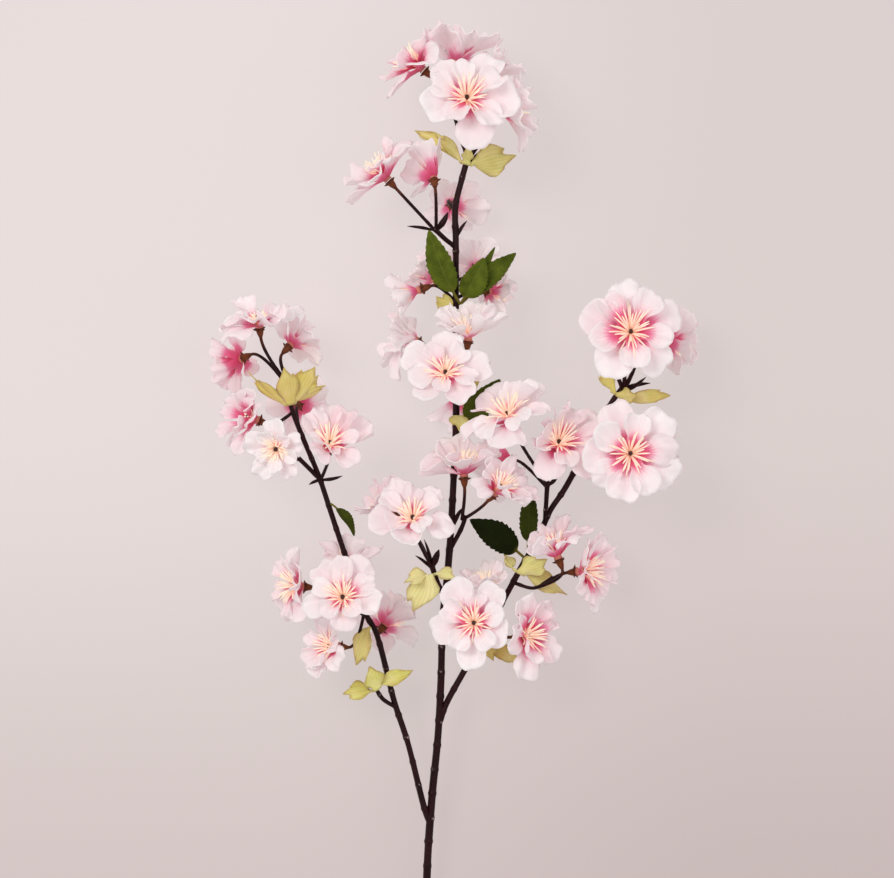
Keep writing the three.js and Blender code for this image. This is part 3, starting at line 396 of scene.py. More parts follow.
def add_tube(builder, centres, radii, sides, ridges=None, **marks):
    """A tube along centres, closed at both ends. ridges scales the radius round the tube."""
    centres = vec(centres)
    radii = np.broadcast_to(radii, len(centres))
    tangents = np.gradient(centres, axis=0)
    tangents /= np.linalg.norm(tangents, axis=1, keepdims=True)
    first = sideways(tangents[0])[0]
    angle = np.arange(sides) * 2 * math.pi / sides
    shape = np.ones(sides) if ridges is None else ridges(angle)
    rings = []
    for centre, tangent, radius in zip(centres, tangents, radii):
        first = unit(first - tangent * first.dot(tangent))
        second = np.cross(tangent, first)
        out = np.cos(angle)[:, None] * first + np.sin(angle)[:, None] * second
        rings.append(centre + (radius * shape)[:, None] * out)
    points = np.vstack([*rings, centres[0], centres[-1]])
    count = len(centres) * sides
    j = np.arange(sides)
    beside = (j + 1) % sides
    last = count - sides
    start_cap = np.stack([beside, j, np.full(sides, count)], -1)
    end_cap = np.stack([last + j, last + beside, np.full(sides, count + 1)], -1)
    faces = [grid_faces(len(centres), sides, wrap=True), start_cap, end_cap]
    spread = {}
    for key, value in marks.items():
        value = np.broadcast_to(value, len(centres))
        spread[key] = np.concatenate([np.repeat(value, sides), value[:1], value[-1:]])
    builder.add(points, faces, **spread)


# ---- Blooms ----

ROWS, COLUMNS = 15, 17
SHARE_U = np.linspace(0, 1, ROWS)[:, None]  # from the throat to the free edge
SHARE_V = np.linspace(-1, 1, COLUMNS)[None, :]  # from side to side
PETAL_SPREAD = 9  # between the slopes of one bloom's petals, in degrees
START = 0.07  # share of the petal at which it leaves the hub
PETAL_HALF = 0.16  # half the thickness of a petal
BLADE_HALF = 0.2  # half the thickness of a bract or leaf
BLADE_ROOM = 0.3  # kept round a blade's points
BLOOM_SPAN = 45  # blooms further apart than this can't touch
ROD_LENGTH = 12
FOLDS = (0.7, 0.5, 0.3, 0, 0, 0)  # how far pressed petals bend forward, by round
HUB_HEIGHTS = np.array([-0.3, 0.8, 2.0, 2.9, 3.3, 5.4, 6.0, 6.3])
HUB_RADII = [2.3, 1.9, 1.7, 1.5, 1.05, 1.0, 1.05, 0.5]


def petal_point(layer, open_, along, degrees, lift):
    """Points of a petal whose slope changes evenly from the throat to the tip."""
    throat = math.radians(layer["throat"]) + np.radians(open_)
    curl = math.radians(layer["throat"] - layer["tip"]) / layer["reach"]
    slope = throat - curl * along
    radius = (np.sin(throat) - np.sin(slope)) / curl
    height = (np.cos(slope) - np.cos(throat)) / curl
    angle = np.radians(degrees + layer["turn"])
    return np.stack(np.broadcast_arrays(
        radius * np.cos(angle), radius * np.sin(angle), layer["base"] + height + lift), -1)


def petal_grid(layer, size, cup, paleness, blush, i, seed):
    """One petal: wide and round, cupped, twisted a little, with a soft wave along its free edge."""
    petal = seed + 11 * i
    d = [draw(petal + 0.37 * n) for n in range(16)]
    open_ = cup + PETAL_SPREAD * draw(petal)
    end = 1 - 0.27 * np.abs(SHARE_V) ** 3 - 0.03 * np.exp(-((SHARE_V - 0.2 * d[0]) / 0.14) ** 2)
    end = (end + 0.025 * np.sin(5.5 * SHARE_V + 3 * d[1])) * (1 + 0.08 * d[12])
    share = START + (end - START) * SHARE_U
    notch = layer["notch"] / layer["reach"]
    half = 36 - 15 * smooth(0.9 * notch, 0.42, share) + (11 + 2 * d[14]) * smooth(0.36, 0.66, share)
    half = half - 2.5 * smooth(0.72, 1, SHARE_U)
    free = smooth(notch, 1, share)
    rim = (3.0 + 2.2 * d[2]) * np.abs(SHARE_V) ** 2.2 * smooth(0.15, 0.7, share)
    wave = (2.0 * np.sin(3.6 * SHARE_V + 3 * d[3]) * (0.6 + 0.4 * d[4])
            + 0.9 * np.sin(7.5 * SHARE_V + 3 * d[5])
            + 0.35 * np.sin(14 * SHARE_V + 3 * d[15])) * free**1.6
    curl = 3.4 * d[6] * smooth(0.6, 1, SHARE_U) ** 1.7
    side_curl = 3.2 * d[7] * smooth(0.4, 1, SHARE_V * (1 if d[8] > 0 else -1)) * smooth(0.3, 0.9, share)
    twist = 3.0 * d[9] * SHARE_V * free
    crease = -0.6 * np.exp(-(SHARE_V / 0.14) ** 2) * smooth(0.2, 0.5, share) * (1 - smooth(0.7, 1, share))
    lift = (rim + wave + curl + side_curl + twist + crease) * size
    degrees = i * 72 + SHARE_V * half + 5 * d[10] * free
    grid = petal_point(layer, open_, share * layer["reach"] * size, degrees, lift)
    along = share * layer["reach"] / LOWER["reach"] + paleness + 0.035 * d[11]
    return grid, dict(along=along, across=SHARE_V, tone=0.5 + 0.5 * d[13], blush=blush + 0.3 * d[8])


FILAMENTS = 34


def filament_lines(seed, size, lean_in):
    """The middle lines of the stamens: a tuft that opens from the hub."""
    lines = []
    for i in range(FILAMENTS):
        d = [draw(seed + 3.1 * i + 0.71 * n) for n in range(5)]
        angle = math.radians(i * 137.508 + 9 * d[0])
        inner = i / FILAMENTS
        lean = math.radians(20 + (44 - lean_in) * inner**0.8 + 6 * d[1])
        length = (11.2 + 1.5 * d[2]) * size
        start = HUB_RADIUS * (0.45 + 0.5 * inner)
        t = np.linspace(0, 1, 6)
        bend = lean * (0.55 + 0.6 * t + 0.25 * d[3] * t)
        out = start + np.concatenate([[0], np.cumsum(np.sin(bend[1:]) * length / 5)])
        up = HUB_HEIGHT - 0.6 + np.concatenate([[0], np.cumsum(np.cos(bend[1:]) * length / 5)])
        sway = 0.5 * d[4] * t**2
        c, s = math.cos(angle), math.sin(angle)
        lines.append(np.stack([out * c - sway * s, out * s + sway * c, up], -1))
    return lines


class Bloom:
    """The petals and stamens of a bloom as points, which the neighbours can press back."""

    def __init__(self, index, name, at, face, root, size, cup, turn=None):
        self.name, self.seed = name, 100 * (index + 1)
        self.centre, self.axis, self.root = vec(at), unit(face), vec(root)
        first, second = sideways(self.axis)
        turn = math.radians(180 * draw(self.seed) if turn is None else turn)
        c, s = math.cos(turn), math.sin(turn)
        self.basis = np.stack([c * first + s * second, c * second - s * first, self.axis])
        self.grids = []
        tints = PALENESS.get(name, 0), BLUSH.get(name, COMMON_BLUSH)
        for layer, seed in ((LOWER, self.seed), (UPPER, self.seed + 60)):
            for i in range(PETALS):
                self.grids.append(petal_grid(layer, size, cup, *tints, i, seed))
        self.lines = filament_lines(self.seed + 7, size * (0.45 if name in SHORT_TUFTS else 1), cup)
        local = [g.reshape(-1, 3) for g, _ in self.grids] + self.lines
        self.points = np.vstack(local) @ self.basis + self.centre
        keep = np.zeros((ROWS, COLUMNS), bool)
        keep[-1, ::2] = keep[4::2, 0] = keep[4::2, -1] = keep[-5, ::4] = True
        mask = [keep.reshape(-1)] * len(self.grids)
        mask += [[False] * 5 + [i % 4 == 3] for i in range(FILAMENTS)]
        self.outer = np.flatnonzero(np.concatenate(mask))

    def reach(self, directions):
        """How far the petals reach from the bloom's middle, for one or many directions."""
        return ((self.points[self.outer] - self.centre) @ directions.T).max(0)

    def press(self, direction, share, fold):
        """Presses the far side back along a direction and bends it forward, as in the CAD source."""
        forward = self.axis - direction * self.axis.dot(direction)
        steady = np.linalg.norm(forward) > 0.25
        arm = self.points - self.centre
        reach = arm @ direction
        far = reach > 0
        a, r = arm[far], reach[far]
        before = (a * a).sum(1)
        a = a + direction * (r * (share - 1))[:, None]
        if steady and fold > 0:
            forward = unit(forward)
            level = a @ forward
            lift = np.sqrt(np.maximum(level * level + before - (a * a).sum(1), 0)) - level
            a = a + forward * (fold * lift * np.minimum(1, r / 8))[:, None]
        self.points[far] = self.centre + a


def spread_directions(count):
    """Directions spread evenly over a sphere."""
    i = np.arange(count)
    z = 1 - (2 * i + 1) / count
    flat = np.sqrt(1 - z * z)
    turn = math.pi * (3 - math.sqrt(5)) * i
    return np.stack([flat * np.cos(turn), flat * np.sin(turn), z], -1)


DIRECTIONS = spread_directions(320)


def part_blooms(a, b, fold):
    """Presses two blooms apart in the direction in which they overlap least."""
    gap = CLEARANCE + 2 * PETAL_HALF
    apart = DIRECTIONS @ (b.centre - a.centre) - gap
    share = apart / (a.reach(DIRECTIONS) + b.reach(-DIRECTIONS))
    share[apart <= 0] = -np.inf
    best = int(np.argmax(share))
    if share[best] < 1 and apart[best] > 0:
        a.press(DIRECTIONS[best], share[best], fold)
        b.press(-DIRECTIONS[best], share[best], fold)


def clear_of(bloom, points, radius, fold):
    """Presses a bloom back from a rod or a leaf that it would cut."""
    near = (points @ DIRECTIONS.T).min(0)
    room = near - DIRECTIONS @ bloom.centre - (CLEARANCE + PETAL_HALF + radius)
    share = room / bloom.reach(DIRECTIONS)
    share[room <= 0] = -np.inf
    best = int(np.argmax(share))
    if share[best] < 1 and room[best] > 0:
        bloom.press(DIRECTIONS[best], share[best], fold)


def settle(blooms, fixed):
    """Parts the blooms from each other, from what is fixed and from the surface below."""
    down = np.array([0, 0, -1.0])
    for fold in FOLDS:
        for i, a in enumerate(blooms):
            for b in blooms[i + 1:]:
                if np.linalg.norm(a.centre - b.centre) < BLOOM_SPAN:
                    part_blooms(a, b, fold)
        for bloom in blooms:
            for points, radius, owner in fixed:
                distance = np.linalg.norm(points - bloom.centre, axis=1).min()
                if owner is not bloom and distance < BLOOM_SPAN:
                    clear_of(bloom, points, radius, fold)
            depth = bloom.reach(down[None])[0]
            room = bloom.centre[2] - PETAL_HALF
            if depth > room:
                bloom.press(down, room / depth, fold)


def rods_along(curve, radius, owner=None):
    """A curve as short straight rods for settle."""
    count = max(1, round(curve.length / ROD_LENGTH))
    ends = curve.at(np.arange(count + 1) / count)
    return [(ends[i:i + 2], radius, owner) for i in range(count)]


# ---- Materials ----


def colour(code):
    """A hex colour as Blender's linear one."""
    channels = [int(code[i:i + 2], 16) / 255 for i in (1, 3, 5)]
    return [c / 12.92 if c <= 0.04045 else ((c + 0.055) / 1.055) ** 2.4 for c in channels] + [1]


class Nodes:
    """A Principled material and short ways to add nodes to it."""

    def __init__(self, name, roughness, **inputs):
        self.material = bpy.data.materials.new(name)
        self.material.use_nodes = True
        self.tree = self.material.node_tree
        self.shader = self.tree.nodes["Principled BSDF"]
        self.shader.inputs["Roughness"].default_value = roughness
        for key, value in inputs.items():
            self.shader.inputs[key.replace("_", " ")].default_value = value

    def node(self, kind, links=None, **settings):
        made = self.tree.nodes.new(kind)
        for key, value in settings.items():
            setattr(made, key, value)
        for key, value in (links or {}).items():
            if isinstance(value, bpy.types.NodeSocket):
                self.tree.links.new(value, made.inputs[key])
            else:
                made.inputs[key].default_value = colour(value) if isinstance(value, str) else value
        return made

    def mark(self, name):
        return self.node("ShaderNodeAttribute", attribute_name=name).outputs["Fac"]

    def math(self, operation, *values, clamp=False):
        links = dict(enumerate(values))
        return self.node("ShaderNodeMath", links, operation=operation, use_clamp=clamp).outputs[0]

    def times(self, a, b, clamp=False):
        return self.math("MULTIPLY", a, b, clamp=clamp)

    def scaled(self, value, by, plus):
        return self.math("MULTIPLY_ADD", value, by, plus)

    def place(self):
        return self.node("ShaderNodeTexCoord").outputs["Object"]

    def noise(self, scale, detail):
        links = {"Scale": scale, "Detail": detail, "Vector": self.place()}
        return self.node("ShaderNodeTexNoise", links).outputs["Fac"]

    def eased(self, value, low, high, most=1.0):
        """A smooth step from 0 at low to most at high."""
        links = {"Value": value, "From Min": low, "From Max": high, "To Max": most}
        return self.node("ShaderNodeMapRange", links, interpolation_type="SMOOTHSTEP").outputs[0]

    def ramp(self, value, stops):
        made = self.node("ShaderNodeValToRGB", {"Fac": value})
        elements = made.color_ramp.elements
        while len(elements) < len(stops):
            elements.new(0.5)
        for element, (place, code) in zip(elements, stops):
            element.position = place
            element.color = colour(code) if isinstance(code, str) else [code, code, code, 1]
        return made.outputs["Color"]

    def mix(self, share, a, b, blend="MIX"):
        links = {0: share, 6: a, 7: b}
        return self.node("ShaderNodeMix", links, data_type="RGBA", blend_type=blend).outputs[2]

    def bump(self, height, strength, distance, **under):
        links = {"Height": height, "Strength": strength, "Distance": distance, **under}
        return self.node("ShaderNodeBump", links).outputs["Normal"]

    def finish(self, base, normal=None, roughness=None, glow=None):
        links = {"Base Color": base, "Normal": normal, "Roughness": roughness, "Emission Color": glow}
        for key, value in links.items():
            if value is not None:
                self.tree.links.new(value, self.shader.inputs[key])
        return self.material


PETAL_PAINTED_GLOW = 0.07  # painted light: a glow in the petals' own colour that stands in for light shining through the thin petals
# painted light: how strongly the stamens glow in their own colour
STAMEN_PAINTED_GLOW = 0.22
BLUSH_DEPTH = 0.37


def petal_material():
    """Printed silk: deep pink in the throat, running out along each petal's middle, to near white."""
    n = Nodes("petal_silk", 0.75, Subsurface_Weight=0.25, Subsurface_Scale=0.004,
              Subsurface_Radius=(1.0, 0.55, 0.6), Sheen_Weight=0.15, Emission_Strength=PETAL_PAINTED_GLOW)
    along, across, tone = n.mark("along"), n.mark("across"), n.mark("tone")
    side = n.times(across, across)
    blotch = n.noise(90, 2)
    stripe = n.math("SINE", n.scaled(across, 24.0, n.times(blotch, 5.0)))
    reach = along
    for value, share in ((side, 0.07), (n.math("SUBTRACT", blotch, 0.5), 0.16), (stripe, 0.018),
                         (n.math("SUBTRACT", tone, 0.5), 0.07)):
        reach = n.scaled(value, share, reach)
    base = n.ramp(reach, [
        (0.0, "#c9345f"), (0.2, "#dd4c78"), (0.34, "#e8719a"), (0.415, "#f4b0c6"),
        (0.48, "#fae1e8"), (0.6, "#fcf1f4"), (1.0, "#fefafb"),
    ])
    blush = n.times(n.mark("blush"), BLUSH_DEPTH, clamp=True)
    base = n.mix(blush, base, "#f2cad3", "MULTIPLY")
    weave = n.noise(2600, 1)
    vein = n.scaled(stripe, 0.35, weave)
    wander = n.times(n.noise(60, 2), 9.0)
    phase = n.math("ADD", n.scaled(across, 5.0, wander), n.times(tone, 6.0))
    fold = n.math("SINE", phase)
    folds = n.bump(n.times(fold, along), 0.6, 0.0008)
    # painted light: the petals glow in their own colour
    return n.finish(base, n.bump(vein, 0.25, 0.00015, Normal=folds), glow=base)


def stamen_material():
    n = Nodes("stamen_plastic", 0.5, Subsurface_Weight=0.15, Subsurface_Scale=0.002,
              Emission_Strength=STAMEN_PAINTED_GLOW)
    base = n.ramp(n.mark("along"), [
        (0.0, "#efb094"), (0.3, "#f7d6c0"), (0.75, "#fbecdc"), (1.0, "#fcefd2"),
    ])
    # painted light: the stamens glow in their own colour
    return n.finish(base, n.bump(n.noise(1500, 2), 0.1, 0.0001), glow=base)


def hub_material():
    n = Nodes("hub_plastic", 0.55)
    base = n.ramp(n.mark("along"), [(0.0, "#c9746a"), (0.5, "#e3a56e"), (0.6, "#a8603c"), (0.7, "#3a1a10")])
    return n.finish(base, n.bump(n.noise(1800, 2), 0.3, 0.0002))


def bark_material():
    n = Nodes("stem_plastic", 0.5, Specular_IOR_Level=0.15)
    fine = n.noise(900, 4)
    wide = n.noise(60, 3)
    base = n.ramp(n.scaled(fine, 0.55, n.times(wide, 0.45)), [
        (0.25, "#160507"), (0.5, "#240b0e"), (0.62, "#331215"), (0.8, "#4d1f20"),
    ])
    base = n.mix(n.times(n.mark("tip"), 0.85, clamp=True), base, "#7c4526")
    # painted highlights: pale flecks on some of the stem's rings, broken up by noise
    grain = n.scaled(n.noise(520, 2), 12.0, -6.8)
    wear_and_highlight = n.times(n.mark("fleck"), grain, clamp=True)
    base = n.mix(n.times(wear_and_highlight, 0.6), base, "#c9b6b2")
    rough = n.ramp(fine, [(0.3, 0.32), (0.7, 0.52)])
    height = n.scaled(wide, 0.5, fine)
    return n.finish(base, n.bump(height, 0.5, 0.0003), rough)


def bract_material():
    n = Nodes("bract_silk", 0.7, Subsurface_Weight=0.12, Subsurface_Scale=0.003, Sheen_Weight=0.1)
    across, edge = n.mark("across"), n.mark("edge")
    blotch = n.noise(120, 3)
    base = n.ramp(blotch, [(0.3, "#d3d35f"), (0.5, "#e2e07d"), (0.7, "#f1eda2")])
    base = n.mix(n.mark("pale"), base, "#fffcb8")
    base = n.mix(n.mark("ochre"), base, "#e39c36")
    wear_and_highlight = n.times(edge, n.scaled(n.noise(260, 3), 1.6, -0.3), clamp=True)
    base = n.mix(wear_and_highlight, base, "#a58646")
    vein = n.math("SINE", n.scaled(across, 13.0, n.times(blotch, 2.0)))
    base = n.mix(n.times(n.math("POWER", n.math("ABSOLUTE", vein), 6.0), 0.2), base, "#a19f4a")
    height = n.scaled(vein, 0.4, n.noise(2400, 1))
    return n.finish(base, n.bump(height, 0.35, 0.0002))


def leaf_material():
    n = Nodes("leaf_silk", 0.75, Specular_IOR_Level=0.08)
    across, along = n.mark("across"), n.mark("along")
    off = n.math("ABSOLUTE", across)
    blotch = n.noise(150, 3)
    base = n.ramp(blotch, [(0.25, "#435011"), (0.5, "#56651b"), (0.75, "#6e7c25")])
    rib = n.math("SUBTRACT", 1.0, n.times(off, 11.0), clamp=True)
    slant = n.scaled(along, 58.0, n.times(off, -9.0))
    veins = n.math("POWER", n.math("ABSOLUTE", n.math("SINE", slant)), 14.0)
    lines = n.math("MAXIMUM", rib, n.times(veins, 0.5))
    base = n.mix(n.times(lines, 0.3), base, "#7d8842")
    base = n.mix(n.mark("dark"), base, "#0c1302")
    base = n.mix(n.mark("tip"), base, "#75702e")
    height = n.scaled(lines, -0.8, n.times(n.noise(2200, 1), 0.4))
    return n.finish(base, n.bump(height, 0.5, 0.0003))


PETAL, STAMEN, HUB = petal_material(), stamen_material(), hub_material()
BARK, BRACT, LEAF = bark_material(), bract_material(), leaf_material()

# ---- Stem ----


def bark_ridges(angle):
    """The uneven outline of the stem's cross-section."""
    return 1 + 0.035 * np.cos(3 * angle + 0.6) + 0.02 * np.cos(5 * angle)


def knotted_stem(shares, length, radii, phase):
    """The radius along a stem, and where painted highlights lie on its rings: slim segments that step at
    narrow raised rings.
    """
    plain = radii[0] + (radii[1] - radii[0]) * shares
    place = shares * length / RING_SPACING + phase
    ring = np.round(place)
    near = np.exp(-((place - ring) * RING_SPACING) ** 2)
    swell = np.array([0.16 + 0.05 * draw(r + 5) for r in ring])
    step = np.array([0.05 * draw(math.floor(p) + 9) for p in place])
    # painted highlights on some of the rings
    fleck = near**3 * np.array([draw(r + 40 * phase + 2) > 0 for r in ring])
    return plain * (1.01 + step + swell * near), fleck


routes = {name: smooth_route(route) for name, (route, _) in STEMS.items()}
stem_builder = Builder()
for number, (name, (_, radii)) in enumerate(STEMS.items()):
    curve = routes[name]
    shares = np.linspace(0, 1, max(8, round(curve.length / 0.8)))
    thick, fleck = knotted_stem(shares, curve.length, radii, 0.3 * number)
    add_tube(stem_builder, curve.at(shares), thick, 12, bark_ridges, fleck=fleck)

for number, (foot, tip, radius) in enumerate(SCALES):
    foot, tip = vec(foot), vec(tip)
    t = np.linspace(0, 1, 12)
    run = tip - foot
    bow = 0.08 * np.linalg.norm(run) * draw(number + 50)
    centres = foot + t[:, None] * run + np.outer(np.sin(math.pi * t) * bow, sideways(unit(run))[0])
    profile = radius * np.interp(t, [0, 0.15, 0.4, 0.75, 0.93, 1], [0.5, 0.72, 1, 0.72, 0.3, 0.1])
    add_tube(stem_builder, centres, profile, 8)

blooms = [Bloom(i, *entry) for i, entry in enumerate(BLOOMS)]
pegs = []
for bloom in blooms:
    seat = bloom.centre - bloom.axis * (SHEET + SEAT_GAP)
    curve, neck = peg_route(seat, bloom.axis, bloom.root)
    pegs.append((bloom, curve, neck, seat))

# ---- Bracts and leaves ----


def seat_on(name, y):
    """The point, direction and radius of a stem at a height y."""
    curve, (_, radii) = routes[name], STEMS[name]
    shares = np.linspace(0, 1, 2000)
    share = float(np.interp(y, curve.at(shares)[:, 1], shares))
    radius = KNOT_SWELL * (radii[0] + (radii[1] - radii[0]) * share)
    return curve.at(share), curve.along(share), radius


def bract_parts(stem, y, lobes):
    """The cuff's cut angles and, for each lobe, what the CAD source makes its blade from."""
    centre, axis, radius = seat_on(stem, y)
    first, second = sideways(axis)
    turned = []
    for tip, width in lobes:
        arm = vec(tip) - centre
        turned.append([math.atan2(arm @ second, arm @ first), vec(tip), width])
    turned.sort(key=lambda lobe: lobe[0])
    count = len(turned)
    gaps = [after[0] - before[0] for before, after in zip(turned, turned[1:])]
    gaps.append(turned[0][0] + 2 * math.pi - turned[-1][0])
    widest = gaps.index(max(gaps))
    ordered = [turned[(widest + 1 + i) % count] for i in range(count)]
    for before, after in zip(ordered, ordered[1:]):
        while after[0] < before[0]:
            after[0] += 2 * math.pi
    cuts = [ordered[0][0] - 0.55]
    cuts += [(a[0] + b[0]) / 2 for a, b in zip(ordered, ordered[1:])]
    cuts.append(ordered[-1][0] + 0.55)
    widest_step = max(b - a for a, b in zip(cuts, cuts[1:]))
    inside = (radius + CLEARANCE + SHEET) / math.cos(min(widest_step / 2, 0.8))

    def ring(angles, reach, rise):
        angles = np.asarray(angles)[..., None]
        return centre + reach * (np.cos(angles) * first + np.sin(angles) * second) + rise * axis

    parts = []
    for i, (_, tip, width) in enumerate(ordered):
        left, right = ring([cuts[i], cuts[i + 1]], inside + CUFF_FLARE, CUFF_RISE)
        foot = (left + right) / 2
        run = unit(tip - foot)
        across = unit(right - left)
        flat = unit(np.cross(axis, run))
        to_viewer = unit(np.cross([0, 0, 1], run))
        if to_viewer @ flat < 0:
            to_viewer = -to_viewer
        side = unit(0.35 * across + 0.65 * to_viewer)
        normal = unit(np.cross(run, side))
        parts.append(dict(cuts=(cuts[i], cuts[i + 1]), ring=ring, inside=inside, foot=foot, tip=tip,
                          side=side, normal=normal, width=width))
    return parts


def bract_grid(seed, cuts, ring, inside, foot, tip, side, normal, width):
    """One lobe: it leaves the cuff round the stem, widens, and ends in three uneven teeth."""
    d = [draw(seed + 1.7 * n) for n in range(8)]
    rows, columns = 22, 15
    v = np.linspace(-1, 1, columns)
    t = np.linspace(0, 1, rows)
    angles = cuts[0] + (v + 1) / 2 * (cuts[1] - cuts[0])
    cuff_low = ring(angles, inside, 0.0)
    cuff_high = ring(angles, inside + CUFF_FLARE, CUFF_RISE)
    teeth = [(-0.68, 0.72 + 0.12 * d[0]), (0.05 * d[1], 1.0), (0.66, 0.76 + 0.12 * d[2])]
    end = np.max([height - 0.55 * np.abs(v - place) ** 0.9 for place, height in teeth], axis=0)
    length = np.linalg.norm(tip - foot)
    half = width / 2
    arch = 0.07 * length * (1 + 0.5 * d[3])
    grid = [cuff_low, cuff_high]
    for step in t[1:]:
        along = step * end
        wide = half * np.interp(step, [0, 0.25, 0.55, 0.8, 1], [0.35, 0.55, 1.0, 1.08, 0.95])
        lift = arch * np.sin(math.pi * np.minimum(1, along)) * (1 if d[4] > -0.3 else -1)
        lift = lift + half * (0.34 * np.abs(v) ** 1.6 - 0.1) * math.sin(math.pi * min(1, step * 1.2) / 2)
        lift = lift + 0.09 * length * step**2 * np.sin(3.1 * v + 3 * d[5])
        lift = lift + 0.35 * step * np.sin(9 * v + 3 * d[6])
        lift = lift - 0.1 * length * step**3 * (0.5 + 0.5 * d[7])
        blade = foot + along[:, None] * (tip - foot) + np.outer(v * wide, side) + np.outer(lift, normal)
        blend = smooth(0, 0.35, step)
        grid.append(cuff_high * (1 - blend) + blade * blend if blend < 1 else blade)
    share = np.concatenate([[0], t])[:, None]
    edge = np.maximum(smooth(0.72, 1, np.abs(v))[None, :], smooth(0.82, 1, share))
    return np.array(grid), dict(across=v[None, :], edge=edge)


def leaf_grid(foot, tip, width, face, seed):
    """A leaf: a slim stalk, then a toothed blade folded along its midrib."""
    foot, tip = vec(foot), vec(tip)
    run = tip - foot
    length = np.linalg.norm(run)
    side = unit(np.cross(run, face))
    normal = unit(np.cross(side, run))
    d = [draw(seed + 2.3 * n) for n in range(3)]
    rows, columns = 64, 11
    t = np.linspace(0, 1, rows)[:, None]
    v = np.linspace(-1, 1, columns)[None, :]
    blade = np.clip((t - 0.2) / 0.8, 0, 1)
    outline = np.sin(math.pi * np.minimum(1, blade**0.78)) ** 0.66
    outline = outline * (1 - 0.12 * smooth(0.6, 1, blade))
    saw = (blade * 11) % 1
    outline = outline * (1 - 0.13 * (1 - saw) * smooth(0.05, 0.2, blade))
    half = np.maximum(width / 2 * outline, STALK_HALF * (1 - smooth(0.2, 0.3, t)))
    half = np.maximum(half, 0.06)
    across = np.sign(v) * np.abs(v) ** 0.9 * half
    lift = 0.09 * length * 4 * t * (1 - t) + 0.32 * np.abs(across) * (1 + 0.3 * d[0])
    lift = lift + 0.05 * width * np.sin(9 * t + 3 * d[1]) * v * smooth(0.2, 0.6, t)
    bend = 0.05 * length * d[2] * np.sin(math.pi * t)
    grid = foot + t[..., None] * run + (across + bend)[..., None] * side + lift[..., None] * normal
    stalk = 1 - smooth(0.16, 0.26, t)
    return grid, dict(across=v, along=t, tip=stalk)


# ---- Settling the petals ----

fixed = []
for name, (_, radii) in STEMS.items():
    fixed += rods_along(routes[name], max(radii) * KNOT_SWELL)
for foot, tip, radius in SCALES:
    fixed.append((np.array([foot, tip], float), radius, None))
for bloom, curve, neck, seat in pegs:
    fixed += rods_along(curve, PEG_RADIUS * 1.15, bloom)
    fixed.append((np.array([neck, seat]), 0.8 * CALYX_RIM, bloom))

for number, (name, stem, y, lobes) in enumerate(BRACTS):
    builder = Builder()
    pale, ochre = BRACT_TINTS[name]
    for i, part in enumerate(bract_parts(stem, y, lobes)):
        grid, marks = bract_grid(900 + 40 * number + 7 * i, **part)
        add_sheet(builder, grid, BLADE_HALF, pale=pale, ochre=ochre, **marks)
        fixed.append((grid[::3, ::4].reshape(-1, 3), BLADE_ROOM, None))
    builder.build(f"bract_silk_{name}", BRACT, "bract_fabric", f"bract_{name}")

for number, (name, foot, blades) in enumerate(LEAVES):
    builder = Builder()
    for i, (tip, width, face, dark) in enumerate(blades):
        grid, marks = leaf_grid(foot, tip, width, face, 700 + 31 * number + 5 * i)
        add_sheet(builder, grid, BLADE_HALF, dark=dark, **marks)
        fixed.append((grid[16::12, ::5].reshape(-1, 3), BLADE_ROOM, None))
    builder.build(f"leaf_silk_{name}", LEAF, "leaf_fabric", f"leaf_{name}")

settle(blooms, fixed)

# ---- Pieces of the blooms ----


def build_bloom(bloom):
    petals, stamens, hub = Builder(), Builder(), Builder()
    at = 0
    for _, marks in bloom.grids:
        grid = bloom.points[at:at + ROWS * COLUMNS].reshape(ROWS, COLUMNS, 3)
        at += ROWS * COLUMNS
        add_sheet(petals, grid, PETAL_HALF, **marks)
    for line in bloom.lines:
        t = np.linspace(0, 1, len(line))
        centres = bloom.points[at:at + len(line)]
        at += len(line)
        add_tube(stamens, centres, np.interp(t, [0, 0.8, 0.93, 1], [0.5, 0.42, 0.5, 0.25]), 5, along=t)
    centres = bloom.centre + HUB_HEIGHTS[:, None] * bloom.axis
    add_tube(hub, centres, HUB_RADII, 10, along=np.linspace(0, 1, len(HUB_RADII)))
    petals.build(f"petals_{bloom.name}", PETAL, "petal_fabric", f"bloom_{bloom.name}")
    stamens.build(f"stamens_{bloom.name}", STAMEN, "petal_fabric")
    hub.build(f"hub_{bloom.name}", HUB, "petal_fabric")


def add_peg(bloom, curve):
    shares = np.linspace(0, 1, max(8, round(curve.length / 1.5)))
    wobble = np.array([1 + 0.05 * draw(bloom.seed + k) for k in range(len(shares))])
    radii = PEG_RADIUS * (1.12 - 0.12 * shares) * wobble
    add_tube(stem_builder, curve.at(shares), radii, 8, tip=0.5 * smooth(0.75, 1, shares))


def add_calyx(bloom, neck, seat):
    """The bell under a bloom, and its sepals."""
    t = np.linspace(0, 1, 9)
    bell = np.interp(t, [0, 0.2, 0.45, 0.8, 1], [0.85, 1.25, 1.7, 1.95, 2.35])
    add_tube(stem_builder, neck + t[:, None] * (seat - neck), bell, 10, tip=0.55 + 0.45 * np.sin(3 * t))
    k = np.linspace(0, 1, 7)
    thick = 0.62 * np.interp(k, [0, 0.4, 0.8, 1], [1, 0.9, 0.5, 0.15])
    for i in range(PETALS):
        angle = math.radians(72 * i + 20)
        out = math.cos(angle) * bloom.basis[0] + math.sin(angle) * bloom.basis[1]
        centres = seat + np.outer(1.6 + 2.0 * k, out) - np.outer(1.2 - 1.2 * k + 0.5 * k * k, bloom.axis)
        add_tube(stem_builder, centres, thick, 5, tip=0.85 - 0.4 * k)


for bloom, curve, neck, seat in pegs:
    build_bloom(bloom)
    add_peg(bloom, curve)
    add_calyx(bloom, neck, seat)
stem_builder.build("moulded_stem", BARK, "stem_plastic", "branching_stem")

# ---- Stage, camera and lights ----

